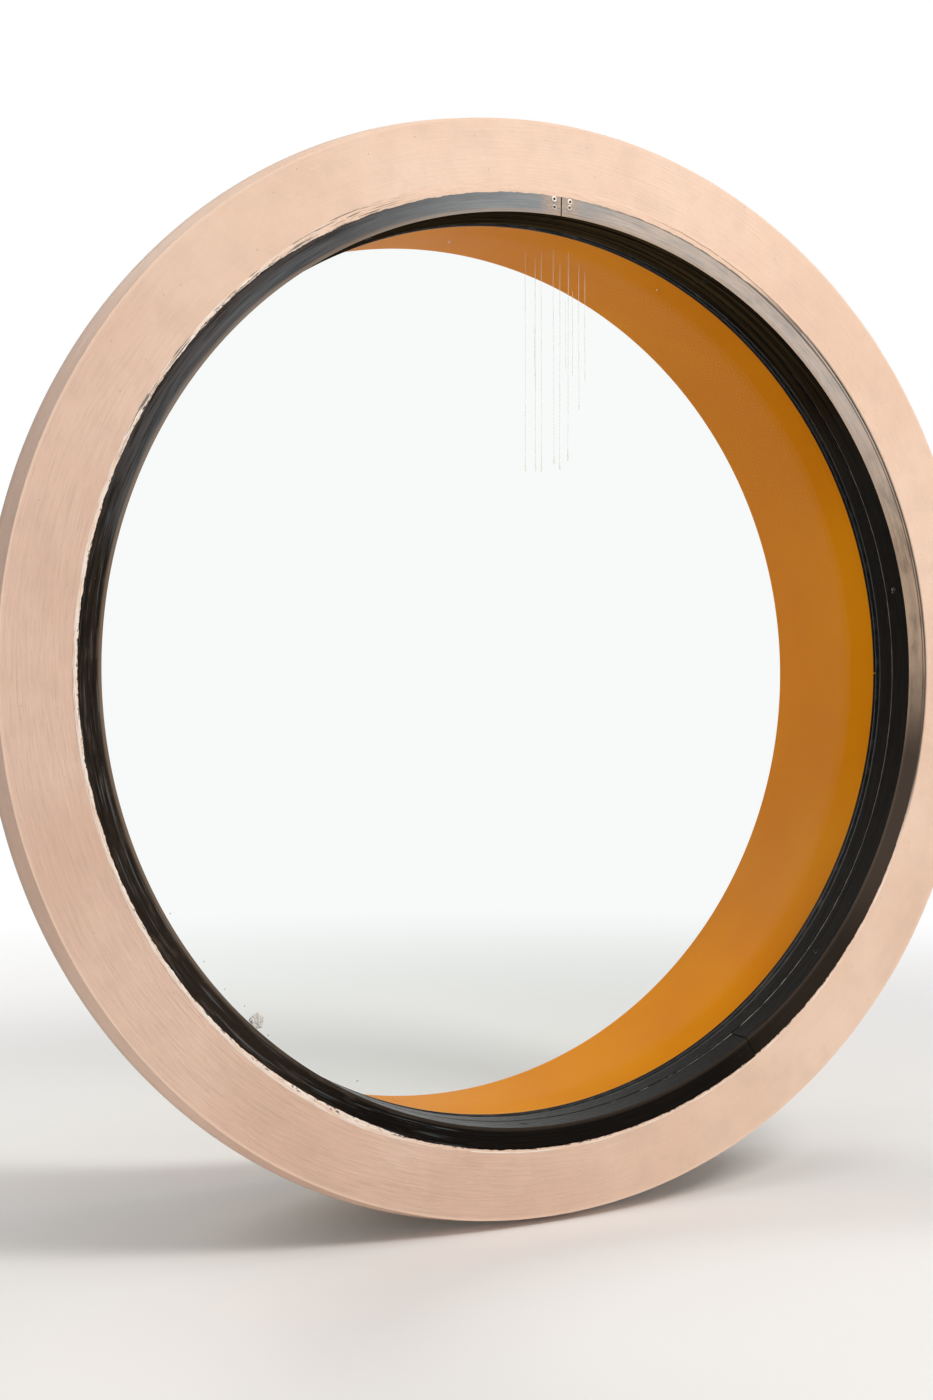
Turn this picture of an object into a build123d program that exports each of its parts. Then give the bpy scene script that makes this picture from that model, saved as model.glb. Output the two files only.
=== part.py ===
from build123d import *
import math
import os

# Round fixed window with its own frame, surround and reveal lining.
# Millimetres, +Z up, the window's axis along Y, the outdoor side towards -Y.
# The origin is on the axis, in the plane of the wall's outer face.
# Clock angles run clockwise from the top, as seen from outdoors.

# Glass and its rebate
SIGHT_RADIUS = 600.0
GLASS_EDGE_COVER = 17.0
GLASS_THICKNESS = 10.0
GLASS_ARRIS = 1.0
GASKET_THICKNESS = 3.0
GASKET_WIDTH = 13.4
GASKET_SETBACK = 0.6
GASKET_LIP = 1.2

# Surround ring on the outside of the wall
SURROUND_PROJECTION = 36.0
SURROUND_FACE_WIDTH = 88.0
SURROUND_SPLAY = 10.0
SURROUND_ARRIS = 1.5
SURROUND_JOINT = 2.5
SURROUND_REBATE = 4.0

# Rolled cover ring, seen from outdoors
COVER_WIDTH = 29.5
COVER_THICKNESS = 3.0
COVER_ARRIS = 2.6
SEAM_GAP = 1.6
SEAM_RIVETED = 1.3
SEAM_BUTTED = 148.75

# Rolled steel frame behind the cover
BAND_THICKNESS = 3.5
BAND_TAIL = 1.0
CHANNEL_WALL = 2.5
FRONT_CHANNEL_DEPTH = 34.0
STOP_CHANNEL_DEPTH = 24.0
JOINT_WIDTH = 3.0
JOINT_RECESS = 3.6
JOINT_DEPTH = 5.0

# Angle beads on the room side of the glass
BEAD_DEPTH = 22.0
BEAD_THICKNESS = 3.0
BEAD_SEGMENTS = 4
BEAD_GAP = 1.2
BEAD_ARRIS = 1.0
BEAD_SCREWS_PER_SEGMENT = 4
BEAD_SCREW_RADIUS = 2.0
BEAD_SCREW_TIP_SETBACK = 0.3
BEAD_SCREW_HEAD_RADIUS = 4.0
BEAD_SCREW_HEAD_HEIGHT = 2.4

# Blocks that centre the glass in the frame
BLOCK_LENGTH = 80.0
BLOCK_CLEARANCE = 0.3
SETTING_BLOCK_CLOCKS = (152.0, 208.0)
LOCATING_BLOCK_CLOCKS = (28.0, 90.0, 270.0, 332.0)

# Screws through the cover and frame into plugs in the surround
FRAME_SCREW_CLOCKS = (25.0, 78.3, 132.0, 183.0, 234.0, 285.0, 335.0)
FRAME_SCREW_RADIUS = 2.5
FRAME_SCREW_LENGTH = 70.0
FRAME_SCREW_HEAD_RADIUS = 5.0
FRAME_SCREW_HEAD_HEIGHT = 2.5
FRAME_SCREW_POINT = 6.0
PLUG_RADIUS = 4.0
PLUG_LENGTH = 45.0
PLUG_INSET = 2.0

# Rivets at the seam, placed outwards from the middle of the cover's face and clockwise from the seam
RIVET_HEAD_RADIUS = 4.0
RIVET_HEAD_HEIGHT = 1.5
RIVET_SHANK_RADIUS = 2.0
RIVET_TAIL = 3.5
RIVET_PLACES = ((6.0, -11.2), (5.6, 12.7), (-4.8, -10.8), (-2.4, 11.9))

# Dowels that pin the surround to the wall
DOWEL_COUNT = 8
DOWEL_CLOCK = 22.5
DOWEL_RADIUS = 6.0
DOWEL_ROOT_RADIUS = 7.0
DOWEL_INSET = 58.0
DOWEL_EMBEDMENT = 24.0
DOWEL_PROJECTION = 85.0
DOWEL_CHAMFER = 1.5

# Reveal lining through the wall
LINING_JOINT = 3.5
LINING_THICKNESS = 12.0
LINING_LENGTH = 325.0
LINING_ARRIS = 3.0
LINING_SEAL_SETBACK = 1.0

# Sealant beads
PERIMETER_SEALANT_DEPTH = 13.0
PERIMETER_SEALANT_SETBACK = 0.5
LINING_SEALANT_DEPTH = 15.0

# Clearances
RING_CLEARANCE = 0.3
SEALANT_CLEARANCE = 0.2
HOLE_CLEARANCE = 0.2

# Places along the axis, from outdoors to indoors
FRONT_Y = -SURROUND_PROJECTION
COVER_BACK_Y = FRONT_Y + COVER_THICKNESS
JOINT_FRONT_Y = COVER_BACK_Y + FRONT_CHANNEL_DEPTH
STOP_FRONT_Y = JOINT_FRONT_Y + JOINT_WIDTH
STOP_BACK_Y = STOP_FRONT_Y + STOP_CHANNEL_DEPTH
GLASS_FRONT_Y = STOP_BACK_Y + GASKET_THICKNESS
GLASS_BACK_Y = GLASS_FRONT_Y + GLASS_THICKNESS
BEAD_FRONT_Y = GLASS_BACK_Y + GASKET_THICKNESS
BEAD_BACK_Y = BEAD_FRONT_Y + BEAD_DEPTH
BAND_BACK_Y = BEAD_BACK_Y + BAND_TAIL
FRAME_SCREW_Y = COVER_BACK_Y + FRONT_CHANNEL_DEPTH / 2
BEAD_SCREW_Y = BEAD_FRONT_Y + (BEAD_THICKNESS + BEAD_DEPTH) / 2

# Radii that several pieces share
GLASS_RADIUS = SIGHT_RADIUS + GLASS_EDGE_COVER
COVER_OUTER = SIGHT_RADIUS + COVER_WIDTH
COVER_LEG_OUTER = SIGHT_RADIUS + COVER_THICKNESS
BAND_OUTER = COVER_OUTER
BAND_INNER = BAND_OUTER - BAND_THICKNESS
CHANNEL_OUTER = BAND_INNER - RING_CLEARANCE
FRONT_CHANNEL_INNER = COVER_LEG_OUTER + RING_CLEARANCE
SURROUND_BORE = COVER_OUTER + SURROUND_JOINT
SURROUND_FRONT_RADIUS = SURROUND_BORE + SURROUND_FACE_WIDTH
DOWEL_CIRCLE_RADIUS = SURROUND_BORE + DOWEL_INSET
BEAD_OUTER = CHANNEL_OUTER
BEAD_LEG_INNER = BEAD_OUTER - BEAD_THICKNESS
LINING_RADIUS = BAND_OUTER + LINING_JOINT
LINING_OUTER = LINING_RADIUS + LINING_THICKNESS

# A whole turn about the window's axis, in degrees
FULL_TURN = 360.0


def revolved(profile, arc=FULL_TURN):
    """A face in the XY plane, x as radius and y along the axis, swept clockwise from 3 o'clock."""
    return revolve(profile, axis=Axis.Y, revolution_arc=arc)


def outline(*points):
    """A closed face through (radius, y) points."""
    return make_face(Polyline(*points, close=True))


def rectangle(inner, outer, front, back):
    """A rectangular section between two radii and two places along the axis."""
    return outline((inner, front), (outer, front), (outer, back), (inner, back))


def corners(section, radius, y):
    """The corners of a section that lie at one radius and one place along the axis."""
    return [v for v in section.vertices() if abs(v.X - radius) < 1e-6 and abs(v.Y - y) < 1e-6]


def at_clock(shape, clock):
    """Turn a shape made at 3 o'clock about the window's axis to a clock angle."""
    return Rotation(0, clock - 90.0, 0) * shape


def at_clocks(shape, clocks):
    """Copies of a shape at several clock angles."""
    return [at_clock(shape, clock) for clock in clocks]


def around(shape, count, first_clock):
    """Equal copies of a shape about the window's axis."""
    return at_clocks(shape, [first_clock + FULL_TURN * i / count for i in range(count)])


def spun_radially(points, y):
    """A turned piece whose own axis is a radius of the window, from (radius, half width) points."""
    return Pos(0, y, 0) * revolve(outline(*points), axis=Axis.X)


def chord_angle(width, radius):
    """The clock angle that a width takes up at a radius."""
    return math.degrees(width / radius)


def save(name, shape):
    """Write one node, from a solid or a list of separate solids."""
    solids = shape if isinstance(shape, list) else [shape]
    export_step(Compound(children=solids) if len(solids) > 1 else solids[0], f"parts/{name}.step")


def frame_screw():
    """A countersunk screw, its head flush with the cover's inner face."""
    head = SIGHT_RADIUS + HOLE_CLEARANCE
    tip = head + FRAME_SCREW_LENGTH
    return spun_radially(
        [
            (head, 0),
            (head, FRAME_SCREW_HEAD_RADIUS),
            (head + FRAME_SCREW_HEAD_HEIGHT, FRAME_SCREW_RADIUS),
            (tip - FRAME_SCREW_POINT, FRAME_SCREW_RADIUS),
            (tip, 0),
        ],
        FRAME_SCREW_Y,
    )


def frame_screw_hole():
    """The countersunk way that a frame screw takes through the cover, channel and band."""
    head = SIGHT_RADIUS + HOLE_CLEARANCE
    shank = FRAME_SCREW_RADIUS + HOLE_CLEARANCE
    return spun_radially(
        [
            (SIGHT_RADIUS - COVER_THICKNESS, 0),
            (SIGHT_RADIUS - COVER_THICKNESS, FRAME_SCREW_HEAD_RADIUS + HOLE_CLEARANCE),
            (head, FRAME_SCREW_HEAD_RADIUS + HOLE_CLEARANCE),
            (head + FRAME_SCREW_HEAD_HEIGHT, shank),
            (SURROUND_BORE, shank),
            (SURROUND_BORE, 0),
        ],
        FRAME_SCREW_Y,
    )


def screw_plug():
    """A wall plug, a short tube round the end of a frame screw."""
    near = SURROUND_BORE + PLUG_INSET
    bore = FRAME_SCREW_RADIUS + HOLE_CLEARANCE
    profile = [(near, bore), (near, PLUG_RADIUS), (near + PLUG_LENGTH, PLUG_RADIUS), (near + PLUG_LENGTH, bore)]
    return spun_radially(profile, FRAME_SCREW_Y)


def plug_hole():
    """The drilled hole that a plug sits in."""
    far = SURROUND_BORE + PLUG_INSET + PLUG_LENGTH + HOLE_CLEARANCE
    radius = PLUG_RADIUS + HOLE_CLEARANCE
    return spun_radially([(SIGHT_RADIUS, 0), (SIGHT_RADIUS, radius), (far, radius), (far, 0)], FRAME_SCREW_Y)


def dowel():
    """A shouldered pin: a thick root in the surround, flush with its back, and a thinner end for the wall."""
    half = outline(
        (0, -DOWEL_EMBEDMENT),
        (DOWEL_ROOT_RADIUS - DOWEL_CHAMFER, -DOWEL_EMBEDMENT),
        (DOWEL_ROOT_RADIUS, DOWEL_CHAMFER - DOWEL_EMBEDMENT),
        (DOWEL_ROOT_RADIUS, 0),
        (DOWEL_RADIUS, 0),
        (DOWEL_RADIUS, DOWEL_PROJECTION - DOWEL_CHAMFER),
        (DOWEL_RADIUS - DOWEL_CHAMFER, DOWEL_PROJECTION),
        (0, DOWEL_PROJECTION),
    )
    return Pos(DOWEL_CIRCLE_RADIUS, 0, 0) * revolve(half, axis=Axis.Y)


def dowel_hole():
    """The blind hole for a dowel in the surround's back."""
    depth = DOWEL_EMBEDMENT + HOLE_CLEARANCE
    hole = Rotation(-90, 0, 0) * Cylinder(DOWEL_ROOT_RADIUS + HOLE_CLEARANCE, 2 * depth)
    return Pos(DOWEL_CIRCLE_RADIUS, 0, 0) * hole


def surround():
    """The splayed ring that stands on the wall, rebated for the lining and drilled for screws and dowels."""
    base = SURROUND_FRONT_RADIUS + SURROUND_SPLAY
    rebate = LINING_OUTER + RING_CLEARANCE
    section = outline(
        (SURROUND_BORE, FRONT_Y),
        (SURROUND_FRONT_RADIUS, FRONT_Y),
        (base, 0),
        (rebate, 0),
        (rebate, -SURROUND_REBATE),
        (SURROUND_BORE, -SURROUND_REBATE),
    )
    rounded = corners(section, SURROUND_FRONT_RADIUS, FRONT_Y) + corners(section, SURROUND_BORE, FRONT_Y)
    ring = revolved(fillet(rounded, SURROUND_ARRIS))
    ring -= at_clocks(plug_hole(), FRAME_SCREW_CLOCKS)
    ring -= around(dowel_hole(), DOWEL_COUNT, DOWEL_CLOCK)
    return ring


def cover_section():
    """The rolled angle: a flat face outdoors and a return towards the glass, with a soft inner arris."""
    section = outline(
        (SIGHT_RADIUS, FRONT_Y),
        (COVER_OUTER, FRONT_Y),
        (COVER_OUTER, COVER_BACK_Y),
        (COVER_LEG_OUTER, COVER_BACK_Y),
        (COVER_LEG_OUTER, JOINT_FRONT_Y),
        (SIGHT_RADIUS, JOINT_FRONT_Y),
    )
    section = fillet(corners(section, SIGHT_RADIUS, FRONT_Y), COVER_ARRIS)
    return fillet(corners(section, COVER_OUTER, FRONT_Y), COVER_THICKNESS / 3)


def at_rivets(shape):
    """Copies of a shape at the rivets' places beside the riveted seam."""
    middle = SIGHT_RADIUS + COVER_WIDTH / 2
    return [at_clock(Pos(middle + out, 0, -side) * shape, SEAM_RIVETED) for out, side in RIVET_PLACES]


def rivet():
    """A domed blind rivet along Y, its head standing on the cover's face."""
    cap_radius = (RIVET_HEAD_RADIUS**2 + RIVET_HEAD_HEIGHT**2) / (2 * RIVET_HEAD_HEIGHT)
    cap = Sphere(cap_radius)
    cap = Pos(0, cap_radius - RIVET_HEAD_HEIGHT, 0) * cap
    above = Pos(0, -cap_radius, 0) * Box(4 * cap_radius, 2 * cap_radius, 4 * cap_radius)
    head = cap & above
    length = COVER_THICKNESS + CHANNEL_WALL + RIVET_TAIL
    shank = Pos(0, length / 2, 0) * (Rotation(-90, 0, 0) * Cylinder(RIVET_SHANK_RADIUS, length))
    return Pos(0, FRONT_Y, 0) * (head + shank)


def rivet_holes():
    """The holes for the rivets through the cover and the front channel."""
    hole = Rotation(-90, 0, 0) * Cylinder(RIVET_SHANK_RADIUS + HOLE_CLEARANCE, 3 * COVER_THICKNESS + 3 * CHANNEL_WALL)
    return at_rivets(Pos(0, COVER_BACK_Y, 0) * hole)


def cover_segment(first_clock, last_clock):
    """One bent length of the cover between two seams, drilled for its rivets and screws."""
    half_gap = chord_angle(SEAM_GAP, COVER_OUTER) / 2
    start = first_clock + half_gap
    arc = last_clock - first_clock - 2 * half_gap
    segment = at_clock(revolved(cover_section(), arc), start)
    segment -= at_clocks(frame_screw_hole(), FRAME_SCREW_CLOCKS)
    segment -= rivet_holes()
    return segment


def channel_section(inner, front, back):
    """A rolled channel open towards the band."""
    return outline(
        (inner, front),
        (CHANNEL_OUTER, front),
        (CHANNEL_OUTER, front + CHANNEL_WALL),
        (inner + CHANNEL_WALL, front + CHANNEL_WALL),
        (inner + CHANNEL_WALL, back - CHANNEL_WALL),
        (CHANNEL_OUTER, back - CHANNEL_WALL),
        (CHANNEL_OUTER, back),
        (inner, back),
    )


def front_channel():
    """The channel that backs the cover."""
    ring = revolved(channel_section(FRONT_CHANNEL_INNER, COVER_BACK_Y, JOINT_FRONT_Y))
    ring -= at_clocks(frame_screw_hole(), FRAME_SCREW_CLOCKS)
    ring -= rivet_holes()
    return ring


def stop_channel():
    """The channel that the glass is pressed against."""
    section = channel_section(SIGHT_RADIUS, STOP_FRONT_Y, STOP_BACK_Y)
    return revolved(fillet(corners(section, SIGHT_RADIUS, STOP_FRONT_Y), CHANNEL_WALL / 2))


def bead_screw_clocks():
    """Clock angles of all bead screws, even along each bead segment."""
    pitch = FULL_TURN / BEAD_SEGMENTS / BEAD_SCREWS_PER_SEGMENT
    return [pitch * (i + 0.5) for i in range(BEAD_SEGMENTS * BEAD_SCREWS_PER_SEGMENT)]


def bead_screw():
    """A short countersunk screw from the bead's leg into the band."""
    head = BEAD_LEG_INNER + HOLE_CLEARANCE
    tip = BAND_OUTER - BEAD_SCREW_TIP_SETBACK
    return spun_radially(
        [
            (head, 0),
            (head, BEAD_SCREW_HEAD_RADIUS),
            (head + BEAD_SCREW_HEAD_HEIGHT, BEAD_SCREW_RADIUS),
            (tip, BEAD_SCREW_RADIUS),
            (tip, 0),
        ],
        BEAD_SCREW_Y,
    )


def bead_screw_hole():
    """The countersunk hole for a bead screw through the bead and the band."""
    head = BEAD_LEG_INNER + HOLE_CLEARANCE
    shank = BEAD_SCREW_RADIUS + HOLE_CLEARANCE
    rim = BEAD_SCREW_HEAD_RADIUS + HOLE_CLEARANCE
    return spun_radially(
        [
            (BEAD_LEG_INNER - BEAD_THICKNESS, 0),
            (BEAD_LEG_INNER - BEAD_THICKNESS, rim),
            (head, rim),
            (head + BEAD_SCREW_HEAD_HEIGHT, shank),
            (LINING_RADIUS, shank),
            (LINING_RADIUS, 0),
        ],
        BEAD_SCREW_Y,
    )


def frame_band():
    """The rolled flat bar that joins the channels and the beads, drilled for all their screws."""
    band = revolved(rectangle(BAND_INNER, BAND_OUTER, COVER_BACK_Y, BAND_BACK_Y))
    band -= at_clocks(frame_screw_hole(), FRAME_SCREW_CLOCKS)
    band -= at_clocks(bead_screw_hole(), bead_screw_clocks())
    return band


def bead_segment(index):
    """One quarter of the angle bead that holds the glass from the room side."""
    section = outline(
        (SIGHT_RADIUS, BEAD_FRONT_Y),
        (BEAD_OUTER, BEAD_FRONT_Y),
        (BEAD_OUTER, BEAD_BACK_Y),
        (BEAD_LEG_INNER, BEAD_BACK_Y),
        (BEAD_LEG_INNER, BEAD_FRONT_Y + BEAD_THICKNESS),
        (SIGHT_RADIUS, BEAD_FRONT_Y + BEAD_THICKNESS),
    )
    section = fillet(corners(section, SIGHT_RADIUS, BEAD_FRONT_Y + BEAD_THICKNESS), BEAD_ARRIS)
    arc = FULL_TURN / BEAD_SEGMENTS
    gap = chord_angle(BEAD_GAP, BEAD_OUTER)
    segment = at_clock(revolved(section, arc - gap), arc * index + gap / 2)
    return segment - at_clocks(bead_screw_hole(), bead_screw_clocks())


def glass_pane():
    """The round pane with a ground edge."""
    pane = Rotation(-90, 0, 0) * Cylinder(GLASS_RADIUS, GLASS_THICKNESS)
    pane = chamfer(pane.edges().filter_by(GeomType.CIRCLE), GLASS_ARRIS)
    return Pos(0, (GLASS_FRONT_Y + GLASS_BACK_Y) / 2, 0) * pane


def gasket(front, lip_y):
    """A flat rubber ring beside the glass, with its inner lip cut back at one face."""
    inner = SIGHT_RADIUS + GASKET_SETBACK
    section = rectangle(inner, inner + GASKET_WIDTH, front, front + GASKET_THICKNESS)
    return revolved(chamfer(corners(section, inner, lip_y), GASKET_LIP))


def block(clock):
    """A rubber block between the edge of the glass and the band."""
    inner = GLASS_RADIUS + BLOCK_CLEARANCE
    outer = BAND_INNER - BLOCK_CLEARANCE
    arc = chord_angle(BLOCK_LENGTH, inner)
    section = rectangle(inner, outer, GLASS_FRONT_Y, GLASS_BACK_Y)
    return at_clock(revolved(section, arc), clock - arc / 2)


def joint_cord():
    """The grey sealant line between the cover's return and the stop channel."""
    inner = SIGHT_RADIUS + JOINT_RECESS
    return revolved(rectangle(inner, inner + JOINT_DEPTH, JOINT_FRONT_Y, STOP_FRONT_Y))


def perimeter_sealant():
    """The sealant between the cover's edge and the surround."""
    front = FRONT_Y + PERIMETER_SEALANT_SETBACK
    inner = BAND_OUTER + SEALANT_CLEARANCE
    outer = SURROUND_BORE - SEALANT_CLEARANCE
    return revolved(rectangle(inner, outer, front, front + PERIMETER_SEALANT_DEPTH))


def lining_sealant():
    """The sealant between the band's room side edge and the lining."""
    inner = BAND_OUTER + SEALANT_CLEARANCE
    outer = LINING_RADIUS - SEALANT_CLEARANCE
    return revolved(rectangle(inner, outer, BAND_BACK_Y - LINING_SEALANT_DEPTH, BAND_BACK_Y))


def lining_seal():
    """The rubber ring in the surround's rebate that the lining's end bears on."""
    return revolved(rectangle(LINING_RADIUS, LINING_OUTER - LINING_SEAL_SETBACK, -SURROUND_REBATE, 0))


def reveal_lining():
    """The round lining through the wall, its room edge softened on both sides."""
    section = rectangle(LINING_RADIUS, LINING_OUTER, 0, LINING_LENGTH)
    edge = corners(section, LINING_RADIUS, LINING_LENGTH) + corners(section, LINING_OUTER, LINING_LENGTH)
    return revolved(fillet(edge, LINING_ARRIS))


os.makedirs("parts", exist_ok=True)
save("surround", surround())
save("surround_dowels", around(dowel(), DOWEL_COUNT, DOWEL_CLOCK))
save("cover_short", cover_segment(SEAM_RIVETED, SEAM_BUTTED))
save("cover_long", cover_segment(SEAM_BUTTED, SEAM_RIVETED + FULL_TURN))
save("seam_rivets", at_rivets(rivet()))
save("front_channel", front_channel())
save("stop_channel", stop_channel())
save("frame_band", frame_band())
save("joint_cord", joint_cord())
save("frame_screws", at_clocks(frame_screw(), FRAME_SCREW_CLOCKS))
save("screw_plugs", at_clocks(screw_plug(), FRAME_SCREW_CLOCKS))
save("glass_pane", glass_pane())
save("outer_gasket", gasket(STOP_BACK_Y, STOP_BACK_Y))
save("inner_gasket", gasket(GLASS_BACK_Y, BEAD_FRONT_Y))
save("setting_blocks", [block(clock) for clock in SETTING_BLOCK_CLOCKS])
save("locating_blocks", [block(clock) for clock in LOCATING_BLOCK_CLOCKS])
for number in range(BEAD_SEGMENTS):
    save(f"glazing_bead_{number + 1}", bead_segment(number))
save("bead_screws", at_clocks(bead_screw(), bead_screw_clocks()))
save("perimeter_sealant", perimeter_sealant())
save("reveal_lining", reveal_lining())
save("lining_seal", lining_seal())
save("lining_sealant", lining_sealant())
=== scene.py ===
"""Looks of a round fixed window: its riveted cover, rolled frame, pane, cast surround and lined reveal.

Pieces are sized in millimetres, and places in finishes are in metres. Clock angles run clockwise from the
top, as seen from outdoors, where the window's axis is +Y. A piece at 3 o'clock is made on +X and then turned
into place.
"""
import logging
import math
from collections.abc import Callable, Iterable, Sequence
from dataclasses import dataclass, field
from enum import Enum
from functools import cached_property

import bmesh
import bpy
from mathutils import Matrix, Vector, noise


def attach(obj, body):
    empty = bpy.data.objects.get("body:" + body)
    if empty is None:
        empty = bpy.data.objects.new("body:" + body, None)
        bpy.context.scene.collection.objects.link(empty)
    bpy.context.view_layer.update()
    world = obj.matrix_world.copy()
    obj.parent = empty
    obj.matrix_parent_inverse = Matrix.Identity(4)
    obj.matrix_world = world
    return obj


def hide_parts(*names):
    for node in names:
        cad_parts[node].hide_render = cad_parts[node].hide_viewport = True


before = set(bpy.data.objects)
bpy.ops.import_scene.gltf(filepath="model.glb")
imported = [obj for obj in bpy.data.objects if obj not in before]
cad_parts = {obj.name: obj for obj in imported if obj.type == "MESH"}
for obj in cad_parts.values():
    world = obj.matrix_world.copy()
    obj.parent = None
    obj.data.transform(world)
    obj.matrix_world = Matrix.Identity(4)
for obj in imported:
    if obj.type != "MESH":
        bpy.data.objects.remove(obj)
LOG = logging.getLogger("porthole")
Piece = bpy.types.Object
Material = bpy.types.Material
Socket = bpy.types.NodeSocket
Value = Socket | float
Colour = tuple[float, float, float]
Point = tuple[float, float]
Round = tuple[float, int]
Move = Callable[[float, float, float], Point]

MM = 0.001  # a millimetre in metres
TOUCH = 1e-6  # metres between places that count as one
ROUND = 720  # steps round a whole ring
SECTOR = 60  # the most steps that are turned at once
SHARP = 32.0  # degrees from which an edge is shaded sharp
WHITE = (1.0, 1.0, 1.0, 1.0)


class Slot(Enum):
    """The record's material slots, named beside the new pieces."""

    SURROUND = "surround_paint"
    COVER = "cover_paint"
    BEAD = "bead_paint"
    RIVET = "rivet_metal"
    SCREW = "screw_steel"
    PANE = "pane"
    RUBBER = "glazing_rubber"
    GREY_SEALANT = "grey_sealant"
    CREAM_SEALANT = "cream_sealant"
    LINING = "lining_lacquer"


class Axis(Enum):
    """What a section is turned about: the window's axis, or a radius of the window."""

    WINDOW = (0.0, 1.0, 0.0)
    RADIUS = (1.0, 0.0, 0.0)


# ---- Work on meshes


def deselect() -> None:
    """Leaves object mode with nothing selected."""
    if bpy.context.object and bpy.context.object.mode != "OBJECT":
        bpy.ops.object.mode_set(mode="OBJECT")
    bpy.ops.object.select_all(action="DESELECT")


def take(obj: Piece) -> None:
    """Selects one object and makes it active.

    Args:
        obj: The object.
    """
    deselect()
    obj.select_set(True)
    bpy.context.view_layer.objects.active = obj


def name_piece(obj: Piece, name: str) -> Piece:
    """Names an object and its mesh alike."""
    obj.name = obj.data.name = name
    return obj


def settle(obj: Piece) -> None:
    """Moves an object's place, turn and scale into its mesh."""
    take(obj)
    bpy.ops.object.transform_apply(location=True, rotation=True, scale=True)


def turn_to(obj: Piece, clock: float) -> None:
    """Turns a piece made at 3 o'clock about the window's axis to a clock angle."""
    obj.matrix_world = Matrix.Rotation(math.radians(clock - 90.0), 4, "Y") @ obj.matrix_world
    settle(obj)


def copies_at(obj: Piece, clocks: Iterable[float], places: Sequence[Vector] = ()) -> list[Piece]:
    """Copies a piece made at 3 o'clock, and removes it.

    Args:
        obj: The piece.
        clocks: The clock angle of each copy.
        places: How far each copy is moved before it is turned, if at all.

    Returns:
        The copies, each with its own mesh.
    """
    copies = []
    for number, clock in enumerate(clocks):
        twin = obj.copy()
        twin.data = obj.data.copy()
        bpy.context.scene.collection.objects.link(twin)
        if places:
            twin.matrix_world = Matrix.Translation(places[number])
        turn_to(twin, clock)
        copies.append(twin)
    bpy.data.objects.remove(obj)
    return copies


def joined(objs: Sequence[Piece], name: str) -> Piece:
    """Joins objects into one piece.

    Args:
        objs: The objects.
        name: The piece's name.

    Returns:
        The piece.
    """
    take(objs[0])
    for other in objs[1:]:
        other.select_set(True)
    if len(objs) > 1:
        bpy.ops.object.join()
    return name_piece(bpy.context.object, name)


def select_vertices(obj: Piece, wanted: Callable[[Vector], bool]) -> None:
    """In edit mode, selects vertices and the edges and faces between them.

    Args:
        obj: The object.
        wanted: Says whether the vertex at a place is selected.
    """
    bm = bmesh.from_edit_mesh(obj.data)
    for v in bm.verts:
        v.select_set(wanted(v.co))
    bm.select_flush_mode()
    for part in (*bm.edges, *bm.faces):
        part.select_set(all(v.select for v in part.verts))
    bmesh.update_edit_mesh(obj.data)


def select_edges(obj: Piece, wanted: Callable[[Vector], bool]) -> None:
    """Goes into edit mode and selects edges.

    Args:
        obj: The object, which is the active one.
        wanted: Says whether an edge is selected from its run, one end less the other.
    """
    bpy.ops.object.mode_set(mode="EDIT")
    bpy.ops.mesh.select_mode(type="VERT")
    bpy.ops.mesh.select_all(action="SELECT")
    bpy.ops.mesh.select_mode(type="EDGE")
    bm = bmesh.from_edit_mesh(obj.data)
    for e in bm.edges:
        e.select_set(wanted(e.verts[0].co - e.verts[1].co))
    bmesh.update_edit_mesh(obj.data)


def close_up(obj: Piece) -> None:
    """Merges doubles, fills open ends and turns all faces outwards.

    Args:
        obj: The object.
    """
    take(obj)
    bpy.ops.object.mode_set(mode="EDIT")
    bpy.ops.mesh.select_all(action="SELECT")
    bpy.ops.mesh.remove_doubles(threshold=TOUCH)
    bpy.ops.mesh.delete_loose(use_verts=True, use_edges=True, use_faces=False)
    bpy.ops.mesh.select_all(action="DESELECT")
    bpy.ops.mesh.select_mode(type="EDGE")
    bpy.ops.mesh.select_non_manifold(extend=False)
    bpy.ops.mesh.fill_holes(sides=0)
    bpy.ops.mesh.select_mode(type="VERT")
    bpy.ops.mesh.select_all(action="SELECT")
    bpy.ops.mesh.normals_make_consistent(inside=False)
    bpy.ops.object.mode_set(mode="OBJECT")


def cut(obj: Piece, cutters: Sequence[Piece]) -> None:
    """Cuts away what lies inside the cutters, and removes them.

    Args:
        obj: The piece that is cut.
        cutters: The cutters.
    """
    tool = joined(cutters, "cutter")
    take(obj)
    step = obj.modifiers.new("cut", "BOOLEAN")
    step.operation, step.solver, step.object = "DIFFERENCE", "EXACT", tool
    bpy.ops.object.modifier_apply(modifier="cut")
    bpy.data.objects.remove(tool)


def smooth(obj: Piece, degrees: float = SHARP) -> None:
    """Shades a piece smooth except across edges sharper than an angle."""
    take(obj)
    bpy.ops.object.shade_smooth_by_angle(angle=math.radians(degrees))


def reshape(obj: Piece, move: Move) -> None:
    """Moves a ring's vertices by hand.

    Args:
        obj: The ring, at the origin.
        move: Takes a vertex's clock angle, radius and place along the axis, and returns its new radius and
            place.
    """
    for v in obj.data.vertices:
        radius, clock = math.hypot(v.co.x, v.co.z) / MM, math.atan2(v.co.x, v.co.z)
        new_radius, y = move(math.degrees(clock) % 360.0, radius, v.co.y / MM)
        v.co = Vector((new_radius * math.sin(clock), y, new_radius * math.cos(clock))) * MM


def ripple(clock: float, waves: float, shift: float = 0.0, across: float = 0.0) -> float:
    """Even noise from -1 to 1 round the axis, with no seam and about that many waves a radian."""
    a = math.radians(clock)
    return noise.noise(Vector((math.sin(a) * waves + shift, math.cos(a) * waves - shift, across + 0.37)))


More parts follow.
